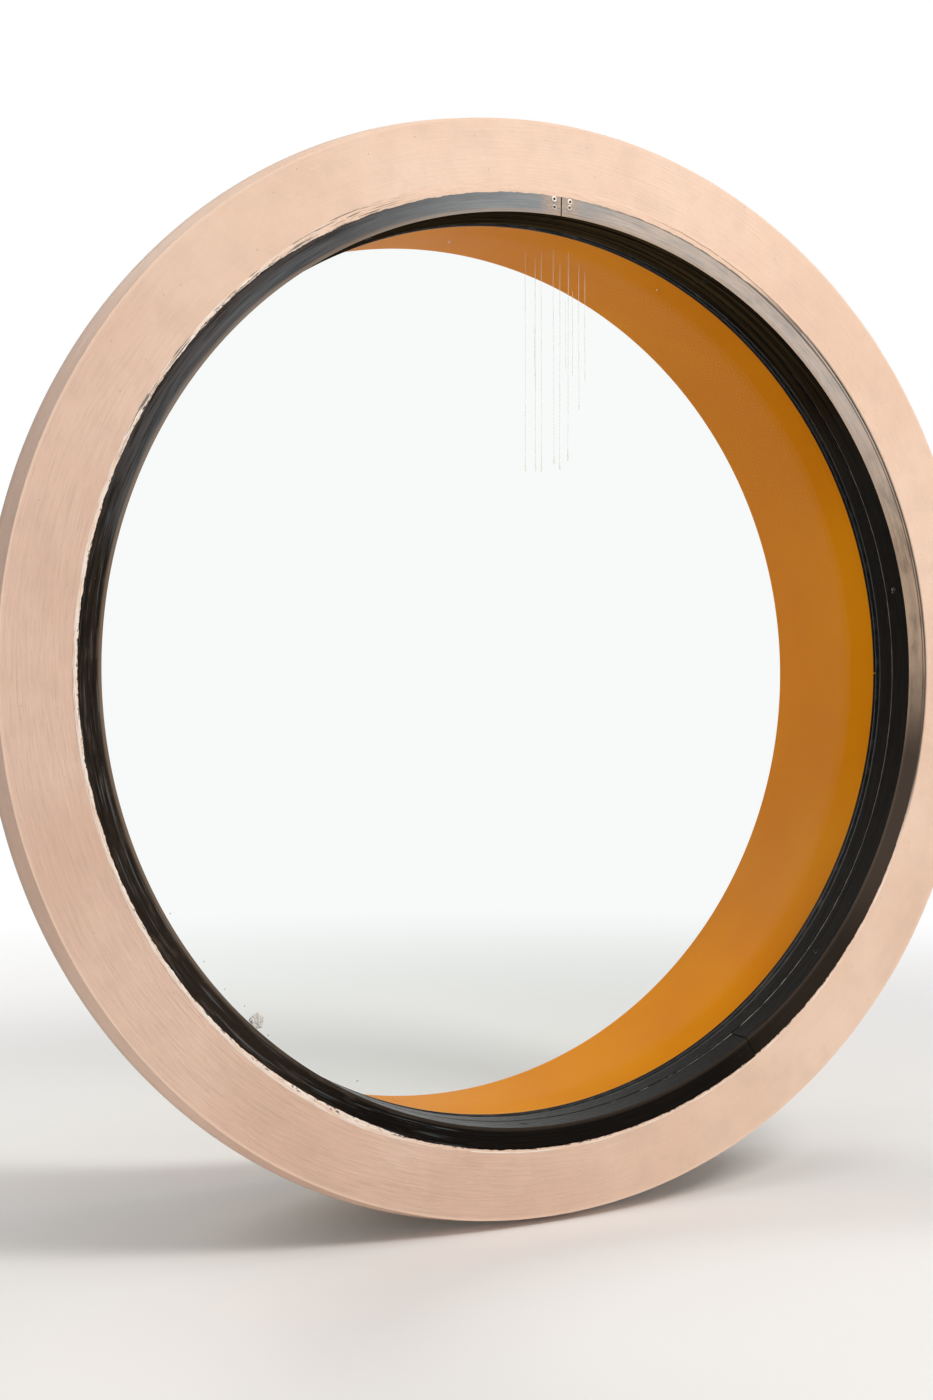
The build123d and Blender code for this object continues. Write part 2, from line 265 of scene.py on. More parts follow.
def ease(value: float, low: float, high: float) -> float:
    """A smooth step from 0 at low to 1 at high, which may be the smaller."""
    t = min(max((value - low) / (high - low), 0.0), 1.0)
    return t * t * (3.0 - 2.0 * t)


def away(clock: float, from_clock: float) -> float:
    """The angle between two clock angles, from 0 to 180."""
    return abs((clock - from_clock + 180.0) % 360.0 - 180.0)


def along(start: Point, end: Point, parts: int) -> list[Point]:
    """Points that divide a side of a section evenly, without its end."""
    (x0, y0), (x1, y1) = start, end
    return [(x0 + (x1 - x0) * i / parts, y0 + (y1 - y0) * i / parts) for i in range(parts)]


@dataclass
class Section:
    """A closed section in the plane through the window's axis.

    Args:
        corners: Radius and place along the axis of each corner, in order.
        rounds: Corner number to the size of its round and the number of its segments.
    """

    corners: Sequence[Point]
    rounds: dict[int, Round] = field(default_factory=dict)

    def trace(self) -> Piece:
        """Draws the section at 3 o'clock.

        Returns:
            One outline of edges, in edit mode.
        """
        deselect()
        x, y = self.corners[0]
        bpy.ops.mesh.primitive_plane_add(size=MM, location=(x * MM, y * MM, 0.0))
        obj = bpy.context.object
        settle(obj)
        bpy.ops.object.mode_set(mode="EDIT")
        bpy.ops.mesh.select_mode(type="VERT")
        bpy.ops.mesh.select_all(action="SELECT")
        bpy.ops.mesh.merge(type="CENTER")
        for next_x, next_y in self.corners[1:]:
            step = ((next_x - x) * MM, (next_y - y) * MM, 0.0)
            bpy.ops.mesh.extrude_region_move(TRANSFORM_OT_translate={"value": step})
            x, y = next_x, next_y
        bpy.ops.mesh.select_all(action="SELECT")
        bpy.ops.mesh.edge_face_add()
        for number, (size, segments) in self.rounds.items():
            corner = Vector((*self.corners[number], 0.0)) * MM
            select_vertices(obj, lambda co, at=corner: (co - at).length < TOUCH)
            bpy.ops.mesh.bevel(affect="VERTICES", offset=size * MM, segments=segments, clamp_overlap=False)
        bpy.ops.mesh.select_all(action="SELECT")
        bpy.ops.mesh.delete(type="ONLY_FACE")
        return obj

    def turned(
        self, name: str, steps: int = ROUND, arc: float = 360.0, axis: Axis = Axis.WINDOW, y: float = 0.0
    ) -> Piece:
        """Turns the section into a closed solid.

        Args:
            name: The piece's name.
            steps: The number of steps round.
            arc: The angle turned, clockwise from 3 o'clock as seen from outdoors.
            axis: What it turns about.
            y: The place along the window's axis of the turning axis.

        Returns:
            The piece, with its faces outwards and smooth shading.
        """
        obj = self.trace()
        sectors = max(1, steps // SECTOR)
        part = -math.radians(arc / sectors)
        spin = {"center": (0.0, y * MM, 0.0), "axis": axis.value}
        bpy.ops.mesh.select_all(action="SELECT")
        bpy.ops.mesh.spin(steps=math.ceil(steps / sectors), angle=part, **spin)
        if sectors > 1:
            bpy.ops.mesh.select_all(action="SELECT")
            bpy.ops.mesh.spin(steps=sectors - 1, angle=part * (sectors - 1), dupli=True, **spin)
        bpy.ops.object.mode_set(mode="OBJECT")
        close_up(obj)
        smooth(obj)
        return name_piece(obj, name)

    def shaped(self, name: str, move: Move, steps: int = ROUND, sharp: float = SHARP) -> Piece:
        """Turns the section into a ring and moves its vertices by hand.

        Args:
            name: The piece's name.
            move: The move, as reshape takes it.
            steps: The number of steps round.
            sharp: The angle in degrees from which its edges are shaded sharp.

        Returns:
            The ring.
        """
        ring = self.turned(name, steps)
        reshape(ring, move)
        smooth(ring, sharp)
        return ring


def dress(obj: Piece, material: Material) -> None:
    """Gives a piece one finish all over."""
    obj.data.materials.clear()
    obj.data.materials.append(material)


def mount(obj: Piece, slot: Slot, material: Material, *nodes: str) -> None:
    """Lets a finished piece ride on the window, dresses it and reports it.

    Args:
        obj: The piece.
        slot: Its slot in the record; not used.
        material: Its finish.
        nodes: The nodes that it stands for.
    """
    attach(obj, "root")
    if nodes:
        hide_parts(*nodes)
    dress(obj, material)
    LOG.info("%s: %d faces, for %s", obj.name, len(obj.data.polygons), ", ".join(nodes) or "the looks alone")


# ---- Finishes


@dataclass(frozen=True)
class Patch:
    """A soft part of the rings near a clock angle.

    Args:
        clock: The clock angle of its middle.
        start: The cosine of the angle from its middle at which it starts from nothing.
        whole: The cosine at which it is whole.
    """

    clock: float
    start: float
    whole: float


class Sheet:
    """The node sheet of one finish, with short calls for the nodes that the finishes share."""

    def __init__(self, holder: Material | bpy.types.World) -> None:
        """Empties a sheet.

        Args:
            holder: The material or world that it belongs to.
        """
        holder.use_nodes = True
        self.holder, self.tree = holder, holder.node_tree
        self.tree.nodes.clear()

    @classmethod
    def of(cls, name: str) -> "Sheet":
        """The empty sheet of a new material."""
        return cls(bpy.data.materials.new(name))

    @cached_property
    def place(self) -> Socket:
        """The place from the window's centre."""
        return self.put("ShaderNodeTexCoord").outputs["Object"]

    @cached_property
    def xyz(self) -> tuple[Socket, ...]:
        """The place's x, y and z."""
        return tuple(self.put("ShaderNodeSeparateXYZ", {0: self.place}).outputs)

    @cached_property
    def radius(self) -> Socket:
        """The distance from the window's axis."""
        x, _, z = self.xyz
        return self.math("SQRT", self.plus(self.times(x, x), self.times(z, z)))

    def put(self, kind: str, inputs: dict | None = None, **settings: object) -> bpy.types.Node:
        """Adds a node.

        Args:
            kind: Its type.
            inputs: Links or numbers for its inputs, by name or number.
            settings: Its own settings.

        Returns:
            The node.
        """
        node = self.tree.nodes.new(kind)
        for key, value in settings.items():
            setattr(node, key, value)
        for key, value in (inputs or {}).items():
            if isinstance(value, Socket):
                self.tree.links.new(value, node.inputs[key])
            else:
                node.inputs[key].default_value = value
        return node

    def math(self, operation: str, a: Value, b: Value = 0.0) -> Socket:
        """One sum on two numbers."""
        return self.put("ShaderNodeMath", {0: a, 1: b}, operation=operation).outputs[0]

    def chain(self, operation: str, *values: Value) -> Value:
        """Joins values by one operation.

        Args:
            operation: The operation.
            values: The values, in order.

        Returns:
            The result.
        """
        result = values[0]
        for value in values[1:]:
            result = self.math(operation, result, value)
        return result

    def times(self, *values: Value) -> Value:
        """The product of values."""
        return self.chain("MULTIPLY", *values)

    def plus(self, *values: Value) -> Value:
        """The sum of values."""
        return self.chain("ADD", *values)

    def step(
        self, value: Value, low: float, high: float, to_low: float = 0.0, to_high: float = 1.0
    ) -> Socket:
        """A smooth step between two numbers as a value goes from low to high."""
        inputs = {"Value": value, "From Min": low, "From Max": high, "To Min": to_low, "To Max": to_high}
        return self.put("ShaderNodeMapRange", inputs, interpolation_type="SMOOTHSTEP").outputs[0]

    def band(self, value: Value, rise: Point, fall: Point) -> Value:
        """A soft band, whose rise and fall each say where it is nothing and where it is whole."""
        return self.times(self.step(value, *rise), self.step(value, *fall))

    def over(
        self, under: Socket | Colour, tone: Socket | Colour, *masks: Value, blend: str = "MIX"
    ) -> Socket:
        """Lays a tone over a colour.

        Args:
            under: The colour below.
            tone: The tone.
            masks: Values whose product is how far the tone covers.
            blend: How the two are mixed.

        Returns:
            The mixed colour.
        """
        low, high = (c if isinstance(c, Socket) else (*c, 1.0) for c in (under, tone))
        inputs = {0: self.times(*masks), 6: low, 7: high}
        return self.put("ShaderNodeMix", inputs, data_type="RGBA", blend_type=blend).outputs[2]

    def noise(
        self,
        scale: float,
        detail: float = 3.0,
        rough: float = 0.55,
        bend: float = 0.0,
        at: Socket | None = None,
    ) -> Socket:
        """Noise from 0 to 1.

        Args:
            scale: How often it changes in a unit of its coordinates.
            detail: How many finer layers it has.
            rough: How strong the finer layers are.
            bend: How far it is bent.
            at: Its coordinates, or else the place.

        Returns:
            The noise.
        """
        inputs = {"Scale": scale, "Detail": detail, "Roughness": rough, "Distortion": bend}
        inputs["Vector"] = self.place if at is None else at
        return self.put("ShaderNodeTexNoise", inputs).outputs[0]

    def strokes(
        self, turns: float, across: float, detail: float = 3.0, rough: float = 0.55, bend: float = 0.0
    ) -> Socket:
        """Noise drawn out round the axis, with no seam.

        Args:
            turns: How often it changes in a radian round the axis.
            across: How often it changes in a metre across the section.
            detail: How many finer layers it has.
            rough: How strong the finer layers are.
            bend: How far it is bent.

        Returns:
            The noise, from 0 to 1.
        """
        x, y, z = self.xyz
        inputs = {
            0: self.times(self.math("DIVIDE", x, self.radius), turns),
            1: self.times(self.math("DIVIDE", z, self.radius), turns),
            2: self.times(self.math("SUBTRACT", self.radius, y), across),
        }
        return self.noise(1.0, detail, rough, bend, self.put("ShaderNodeCombineXYZ", inputs).outputs[0])

    def dots(self, scale: float, size: float, share: float) -> Value:
        """Small round dots at random places.

        Args:
            scale: How many cells lie in a metre.
            size: The size of a dot in its cell.
            share: How many of the cells have one.

        Returns:
            A mask on the dots.
        """
        cells = self.put("ShaderNodeTexVoronoi", {"Vector": self.place, "Scale": scale}).outputs
        pick = self.put("ShaderNodeSeparateColor", {0: cells["Color"]}).outputs[0]
        dot = self.step(cells["Distance"], size, size * 0.55)
        return self.times(dot, self.math("LESS_THAN", pick, share))

    def near(self, patch: Patch) -> Socket:
        """A soft mask on a part of the rings.

        Args:
            patch: The part.

        Returns:
            The mask, 1 where the part is whole.
        """
        x, _, z = self.xyz
        a = math.radians(patch.clock)
        ahead = self.plus(self.times(x, math.sin(a)), self.times(z, math.cos(a)))
        return self.step(self.math("DIVIDE", ahead, self.radius), patch.start, patch.whole)

    def facing(self, low: float = 0.3, high: float = 0.9) -> Socket:
        """A mask on the faces that look outdoors.

        Args:
            low: How far a face looks outdoors where the mask starts.
            high: How far it does where the mask is whole.

        Returns:
            The mask.
        """
        normal = self.put("ShaderNodeTexCoord").outputs["Normal"]
        y = self.put("ShaderNodeSeparateXYZ", {0: normal}).outputs[1]
        return self.step(self.times(y, -1.0), low, high)

    def rays(self, *kinds: str) -> Value:
        """A mask on any of some kinds of ray."""
        path = self.put("ShaderNodeLightPath").outputs
        return self.chain("MAXIMUM", *(path[f"Is {kind} Ray"] for kind in kinds))

    def bump(self, height: Value, depth: float) -> Socket:
        """A relief of a depth in millimetres."""
        inputs = {"Height": height, "Strength": 1.0, "Distance": depth * MM}
        return self.put("ShaderNodeBump", inputs).outputs[0]

    def shader(self, **inputs: object) -> Socket:
        """A principled shader with its inputs, named with _ for each space."""
        named = {name.replace("_", " "): value for name, value in inputs.items()}
        return self.put("ShaderNodeBsdfPrincipled", named).outputs[0]

    def either(self, share: Value, first: Socket, second: Socket) -> Socket:
        """A mix of two shaders by the share of the second."""
        return self.put("ShaderNodeMixShader", {0: share, 1: first, 2: second}).outputs[0]

    def finish(self, surface: Socket, output: str = "ShaderNodeOutputMaterial") -> Material | bpy.types.World:
        """Links the surface to an output, and gives the material or world."""
        self.put(output, {"Surface": surface})
        return self.holder

    def paint(self, **inputs: object) -> Material:
        """Finishes the sheet with one principled shader."""
        return self.finish(self.shader(**inputs))


@dataclass(frozen=True)
class MasonryPaint:
    """Cream paint brushed over a cast ring, bare and grey at the back, with painted shade at its lower left
    and in the joint at its bore, and a painted highlight along its outer arris.
    """

    cream: Colour = (0.795, 0.555, 0.415)
    pale: Colour = (0.87, 0.640, 0.495)
    mottled: Colour = (0.60, 0.435, 0.335)
    stain: Colour = (0.70, 0.42, 0.25)
    side_shade: Colour = (0.90, 0.85, 0.86)
    cement: Colour = (0.36, 0.34, 0.31)
    laitance: Colour = (0.50, 0.47, 0.43)
    groove_shade: Colour = (0.15, 0.13, 0.115)
    bore: float = 0.632
    arris: float = 0.7195
    brushed_and_shaded_at: Patch = Patch(242.0, 0.05, 0.75)
    stained_at: Patch = Patch(62.0, 0.55, 0.85)
    groove_shaded_at: Patch = Patch(74.0, 0.74, 0.88)

    def make(self) -> Material:
        """Builds the paint.

        Returns:
            The material.
        """
        s = Sheet.of("surround_paint")
        strokes = s.strokes(9.0, 330.0, 4.0, 0.62, 0.4)
        fine = s.strokes(12.0, 900.0, 3.0, 0.6, 0.3)
        broad = s.strokes(3.0, 42.0)
        drawn = s.strokes(15.0, 300.0, 4.0, 0.6, 0.3)
        clouds, mottle, grain = s.noise(3.4, 4.0, 0.6), s.noise(22.0, 4.0, 0.6), s.noise(160.0, 6.0, 0.7)
        pits = s.dots(95.0, 0.12, 0.16)
        sides = s.near(self.brushed_and_shaded_at)
        share = s.plus(s.times(sides, 0.32), 0.16)
        colour = s.over(self.cream, self.pale, s.step(clouds, 0.35, 0.68))
        colour = s.over(colour, self.mottled, s.step(mottle, 0.42, 0.74, 0.0, 0.22))
        colour = s.over(colour, self.mottled, s.step(drawn, 0.46, 0.68, 0.0, 0.26), sides)
        colour = s.over(colour, self.pale, s.step(strokes, 0.50, 0.72), share)
        colour = s.over(colour, self.mottled, s.step(strokes, 0.46, 0.30, 0.0, 0.5), share)
        colour = s.over(colour, self.mottled, s.step(broad, 0.54, 0.80, 0.0, 0.15))
        # Painted shade: darker and pinker towards the lower left side, where less light falls.
        colour = s.over(colour, self.side_shade, sides, 0.9, blend="MULTIPLY")
        colour = s.over(colour, self.mottled, pits, 0.6)
        beside_bore = s.step(s.radius, self.bore + 0.013, self.bore + 0.002)
        spots = s.step(s.strokes(34.0, 110.0, 2.0), 0.60, 0.72, 0.0, 0.35)
        colour = s.over(colour, self.stain, beside_bore, s.near(self.stained_at), spots)
        # Painted shade in the sunk joint at the bore, on the right side.
        lip = s.step(s.radius, self.bore + 0.0026, self.bore + 0.0010)
        colour = s.over(colour, self.groove_shade, lip, s.near(self.groove_shaded_at), 0.55)
        # Painted highlight: a paler line along the outer arris where it faces outdoors.
        edge = s.step(s.radius, self.arris - 0.004, self.arris - 0.001)
        colour = s.over(colour, self.pale, edge, s.facing(0.2, 0.6), 0.6)
        foot = s.step(s.plus(s.xyz[1], s.times(mottle, 0.008)), -0.008, 0.003, 0.0, 0.6)
        colour = s.over(colour, self.mottled, foot)
        back = s.step(s.xyz[1], -0.0006, -0.0002)
        colour = s.over(colour, s.over(self.cement, self.laitance, s.step(grain, 0.35, 0.7)), back)
        relief = s.plus(
            s.times(strokes, 1.3),
            s.times(fine, 0.35),
            s.times(drawn, sides, 3.0),
            s.times(s.noise(38.0, 3.0), 1.8),
            s.times(s.noise(700.0, 2.0), 0.2),
            s.times(pits, -0.9),
            s.times(grain, back, 2.5),
        )
        roughness = s.step(strokes, 0.3, 0.8, 0.58, 0.76)
        return s.paint(
            Base_Color=colour, Roughness=roughness, Specular_IOR_Level=0.35, Normal=s.bump(relief, 0.42)
        )


@dataclass(frozen=True)
class BronzePaint:
    """Black-bronze metal paint put on by hand. Where it is exposed, its outdoor face is scuffed and cracked,
    and its colour also holds painted reflections, glints, sheen and highlights that change with the clock
    angle, and painted shade along the filler's edge.
    """

    name: str = "cover_paint"
    exposed: bool = True
    black: Colour = (0.0058, 0.0048, 0.0042)
    umber: Colour = (0.024, 0.0175, 0.0130)
    brown: Colour = (0.058, 0.043, 0.034)
    # Painted reflections: the grey, slate, ash and tan tones stand for what the outdoor face reflects, and
    # tan also paints the inner arris's highlight.
    grey_reflection: Colour = (0.515, 0.430, 0.372)
    slate_reflection: Colour = (0.215, 0.245, 0.265)
    tan_reflection: Colour = (0.400, 0.290, 0.210)
    scuff: Colour = (0.46, 0.335, 0.255)
    speck: Colour = (0.34, 0.30, 0.26)
    olive: Colour = (0.042, 0.029, 0.013)
    ash_reflection: Colour = (0.066, 0.058, 0.056)
    tint: Colour = (0.95, 0.74, 0.54)
    shine: float = 0.035
    face: Point = (-0.020, -0.030)
    arris: Point = (0.6065, 0.6015)
    inner_half: Point = (0.6245, 0.6120)
    crack: tuple[Point, Point] = ((0.6252, 0.6260), (0.6276, 0.6266))
    filler_edge_shade: tuple[Point, Point] = ((0.6234, 0.6244), (0.6264, 0.6254))
    return_top: Patch = Patch(5.0, 0.45, 0.95)
    left: Patch = Patch(255.0, 0.62, 0.88)
    upper_left: Patch = Patch(318.0, 0.78, 0.97)
    lower_right: Patch = Patch(126.0, 0.88, 0.98)
    right: Patch = Patch(102.0, 0.88, 0.98)
    brushed: Patch = Patch(275.0, 0.1, 0.7)
    raked: Patch = Patch(300.0, 0.3, 0.9)
    glinting: Patch = Patch(240.0, 0.45, 0.85)
    sheen: Patch = Patch(322.0, 0.74, 0.96)
    tan_reflected: Patch = Patch(69.0, 0.84, 0.97)
    grey_reflected: Patch = Patch(22.0, 0.58, 0.95)
    shaded: Patch = Patch(346.0, 0.90, 0.985)
    seam: Patch = Patch(1.3, 0.9983, 0.99985)
    arris_highlight: Patch = Patch(285.0, 0.2, 0.9)
    cracked: Patch = Patch(62.0, 0.80, 0.88)
    filler_edge_shaded: Patch = Patch(27.0, 0.92, 0.975)

    def streaks_and_sheen(self, s: Sheet, colour: Socket, out: Value, clouds: Socket, streaking: Value) -> Socket:
        """Streaks the outdoor face as its painter's brush did, and paints on it reflections, glints and sheen
        by clock angle.

        Args:
            s: The paint's sheet.
            colour: The colour so far.
            out: A mask on the outdoor face.
            clouds: The paint's broad noise.
            streaking: A noise that streaks the painted reflections.

        Returns:
            The colour with its streaks, painted reflections, glints and sheen.
        """
        # Painted reflections: brown and grey tones by clock angle for what the face reflects.
        for patch, tone in (
            (self.left, self.umber),
            (self.upper_left, self.ash_reflection),
            (self.lower_right, self.umber),
            (self.right, self.brown),
        ):
            colour = s.over(colour, tone, s.near(patch), out)
        brushed = s.times(s.step(s.strokes(11.0, 210.0, 4.0, 0.6), 0.50, 0.62), s.step(clouds, 0.42, 0.60))
        colour = s.over(colour, self.brown, brushed, s.near(self.brushed), out)
        raked = s.step(s.strokes(7.0, 260.0, 4.0, 0.65), 0.44, 0.62, 0.0, 0.75)
        colour = s.over(colour, self.black, raked, s.near(self.raked), out)
        # Painted glints in slate streaks at the lower left.
        glint = s.step(s.strokes(5.0, 420.0, 4.0, 0.6), 0.55, 0.65, 0.0, 0.30)
        colour = s.over(colour, self.slate_reflection, glint, s.near(self.glinting), out)
        # Painted sheen in slate over the inner half at the upper left.
        sheen = s.times(s.near(self.sheen), s.step(s.radius, *self.inner_half))
        return s.over(colour, self.slate_reflection, sheen, s.step(streaking, 0.36, 0.60, 0.08, 0.30), out)

    def reflections_and_wear(self, s: Sheet, colour: Socket, out: Value, clouds: Socket, streaking: Value) -> tuple[Socket, Value]:
        """Paints reflections on the outdoor face, grey at the top and tan at the right, a highlight on its
        inner arris and shade along the filler's edge, and scuffs and cracks it.

        Args:
            s: The paint's sheet.
            colour: The colour so far.
            out: A mask on the outdoor face.
            clouds: The paint's broad noise.
            streaking: A noise that streaks the painted reflections.

        Returns:
            The colour, and a mask on the painted reflections.
        """
        # Painted reflections: tan at the right and grey at the top, streaked, and slate where the top is
        # shaded.
        tan_reflection = s.times(s.near(self.tan_reflected), out, s.step(s.strokes(13.0, 45.0), 0.32, 0.56, 0.62, 1.0))
        grey_reflection = s.times(s.near(self.grey_reflected), out)
        streaked = s.over(s.over(self.tan_reflection, self.brown, 0.22), self.tan_reflection, s.step(streaking, 0.40, 0.62))
        colour = s.over(colour, streaked, tan_reflection)
        mottled = s.over(self.grey_reflection, self.slate_reflection, s.step(clouds, 0.40, 0.70, 0.0, 0.35))
        mottled = s.over(mottled, self.slate_reflection, s.near(self.shaded), 0.85)
        streaked = s.over(s.over(mottled, self.brown, 0.14), mottled, s.step(streaking, 0.34, 0.62))
        colour = s.over(colour, streaked, grey_reflection)
        scuffed = s.step(s.noise(430.0, 3.0), 0.38, 0.58)
        colour = s.over(colour, self.scuff, s.near(self.seam), scuffed, out)
        both = s.math("MAXIMUM", tan_reflection, grey_reflection)
        # Painted highlight along the inner arris, strongest at the left and where the reflections are.
        arris_highlight = s.plus(s.times(both, 0.5), s.step(s.near(self.arris_highlight), 0.0, 1.0, 0.08, 0.46))
        colour = s.over(colour, self.tan_reflection, s.step(s.radius, *self.arris), out, arris_highlight)
        colour = s.over(colour, self.black, s.band(s.radius, *self.crack), s.near(self.cracked), out, 0.75)
        # Painted shade: a dark hairline along the inner edge of the filler that stands over the face.
        return s.over(colour, self.black, s.band(s.radius, *self.filler_edge_shade), s.near(self.filler_edge_shaded), out, 0.6), both

    def make(self) -> Material:
        """Builds the paint.

        Returns:
            The material.
        """
        s = Sheet.of(self.name)
        strokes = s.strokes(9.0, 700.0, 5.0, 0.65, 0.5)
        bands = s.strokes(4.0, 150.0, 3.0, 0.5, 0.3)
        clouds = s.strokes(16.0, 60.0, 4.0, 0.6)
        colour = s.over(self.black, self.umber, s.step(strokes, 0.48, 0.78, 0.0, 0.45))
        metal, shine = 0.0, self.shine
        if self.exposed:
            outwards = s.facing()
            out = s.times(outwards, s.step(s.xyz[1], *self.face))
            under = s.times(s.near(self.return_top), s.math("SUBTRACT", 1.0, outwards))
            colour = s.over(colour, self.olive, under, s.step(s.strokes(1.5, 150.0, 2.0), 0.40, 0.62))
            shine = s.step(under, 0.0, 0.6, self.shine, 0.0)
            streaking = s.plus(s.times(bands, 0.55), s.times(strokes, 0.45))
            colour = self.streaks_and_sheen(s, colour, out, clouds, streaking)
            colour, mottled = self.reflections_and_wear(s, colour, out, clouds, streaking)
            metal = s.times(mottled, 0.2)
        colour = s.over(colour, self.speck, s.dots(130.0, 0.06, 0.06), 0.6)
        relief = s.plus(s.times(strokes, 0.8), s.times(bands, 1.2), s.times(clouds, 0.6))
        return s.paint(
            Base_Color=colour,
            Metallic=metal,
            Roughness=s.step(strokes, 0.30, 0.75, 0.20, 0.44),
            Specular_IOR_Level=shine,
            Specular_Tint=(*self.tint, 1.0),
            Normal=s.bump(relief, 0.09),
        )


@dataclass(frozen=True)
class PlainMetal:
    """Bare metal with fine scratches and stains, painted over except on its bare side if it has one."""

    name: str
    bright: Colour
    stain: Colour
    rough: Point
    stained: Point = (0.52, 0.72)
    bare_side: float | None = None
    hollow: float | None = None
    paint: Colour = (0.0070, 0.0060, 0.0054)
    lower_rivets: Point = (0.6175, 0.6145)

    def make(self) -> Material:
        """Builds the metal.

        Returns:
            The material.
        """
        s = Sheet.of(self.name)
        scratches = s.noise(900.0, 4.0, 0.7, 0.6)
        stains = s.noise(260.0, 4.0, 0.6)
        colour = s.over(self.bright, self.stain, s.step(stains, *self.stained))
        shine = 1.0 if self.hollow is None else 0.35
        metal = s.step(stains, self.stained[0], self.stained[1] + 0.1, shine, 0.35 * shine)
        specular = 0.5
        if self.hollow is not None:
            colour = s.over(colour, self.stain, s.step(s.xyz[2], *self.lower_rivets), 0.40)
            # Painted shade: the rivet's hollow is laid dark for the depth of the hole its pin left.
            colour = s.over(colour, self.paint, s.step(s.xyz[1], self.hollow - 0.00012, self.hollow))
        if self.bare_side is not None:
            bare = s.times(s.near(Patch(self.bare_side, 0.74, 0.80)), s.step(s.noise(420.0, 2.0), 0.57, 0.66))
            colour = s.over(self.paint, colour, bare)
            metal = s.times(metal, bare)
            specular = s.step(bare, 0.0, 1.0, 0.02, 0.5)
        return s.paint(
            Base_Color=colour,
            Metallic=metal,
            Roughness=s.step(scratches, 0.3, 0.75, *self.rough),
            Specular_IOR_Level=specular,
            Normal=s.bump(scratches, 0.02),
        )


@dataclass(frozen=True)
class Primer:
    """Flat grey anti-rust primer with runs and thin places."""

    grey: Colour = (0.150, 0.155, 0.155)
    thin: Colour = (0.105, 0.085, 0.070)

    def make(self) -> Material:
        """Builds the primer.

        Returns:
            The material.
        """
        s = Sheet.of("frame_primer")
        cloud, fine = s.noise(24.0, 5.0, 0.6), s.noise(1400.0, 2.0)
        colour = s.over(self.grey, self.thin, s.step(cloud, 0.52, 0.72))
        relief = s.plus(fine, s.times(cloud, 2.0))
        return s.paint(
            Base_Color=colour, Roughness=s.step(fine, 0.3, 0.7, 0.62, 0.80), Normal=s.bump(relief, 0.05)
        )


@dataclass(frozen=True)
class Rubber:
    """Black rubber or grey plastic with a dusty bloom."""

    name: str
    base: Colour = (0.020, 0.020, 0.021)
    dust: Colour = (0.085, 0.078, 0.070)
    rough: Point = (0.55, 0.75)

    def make(self) -> Material:
        """Builds the rubber.

        Returns:
            The material.
        """
        s = Sheet.of(self.name)
        bloom, fine = s.noise(45.0, 5.0, 0.65), s.noise(1800.0, 2.0)
        colour = s.over(self.base, self.dust, s.step(bloom, 0.48, 0.76))
        return s.paint(
            Base_Color=colour, Roughness=s.step(fine, 0.3, 0.7, *self.rough), Normal=s.bump(fine, 0.03)
        )


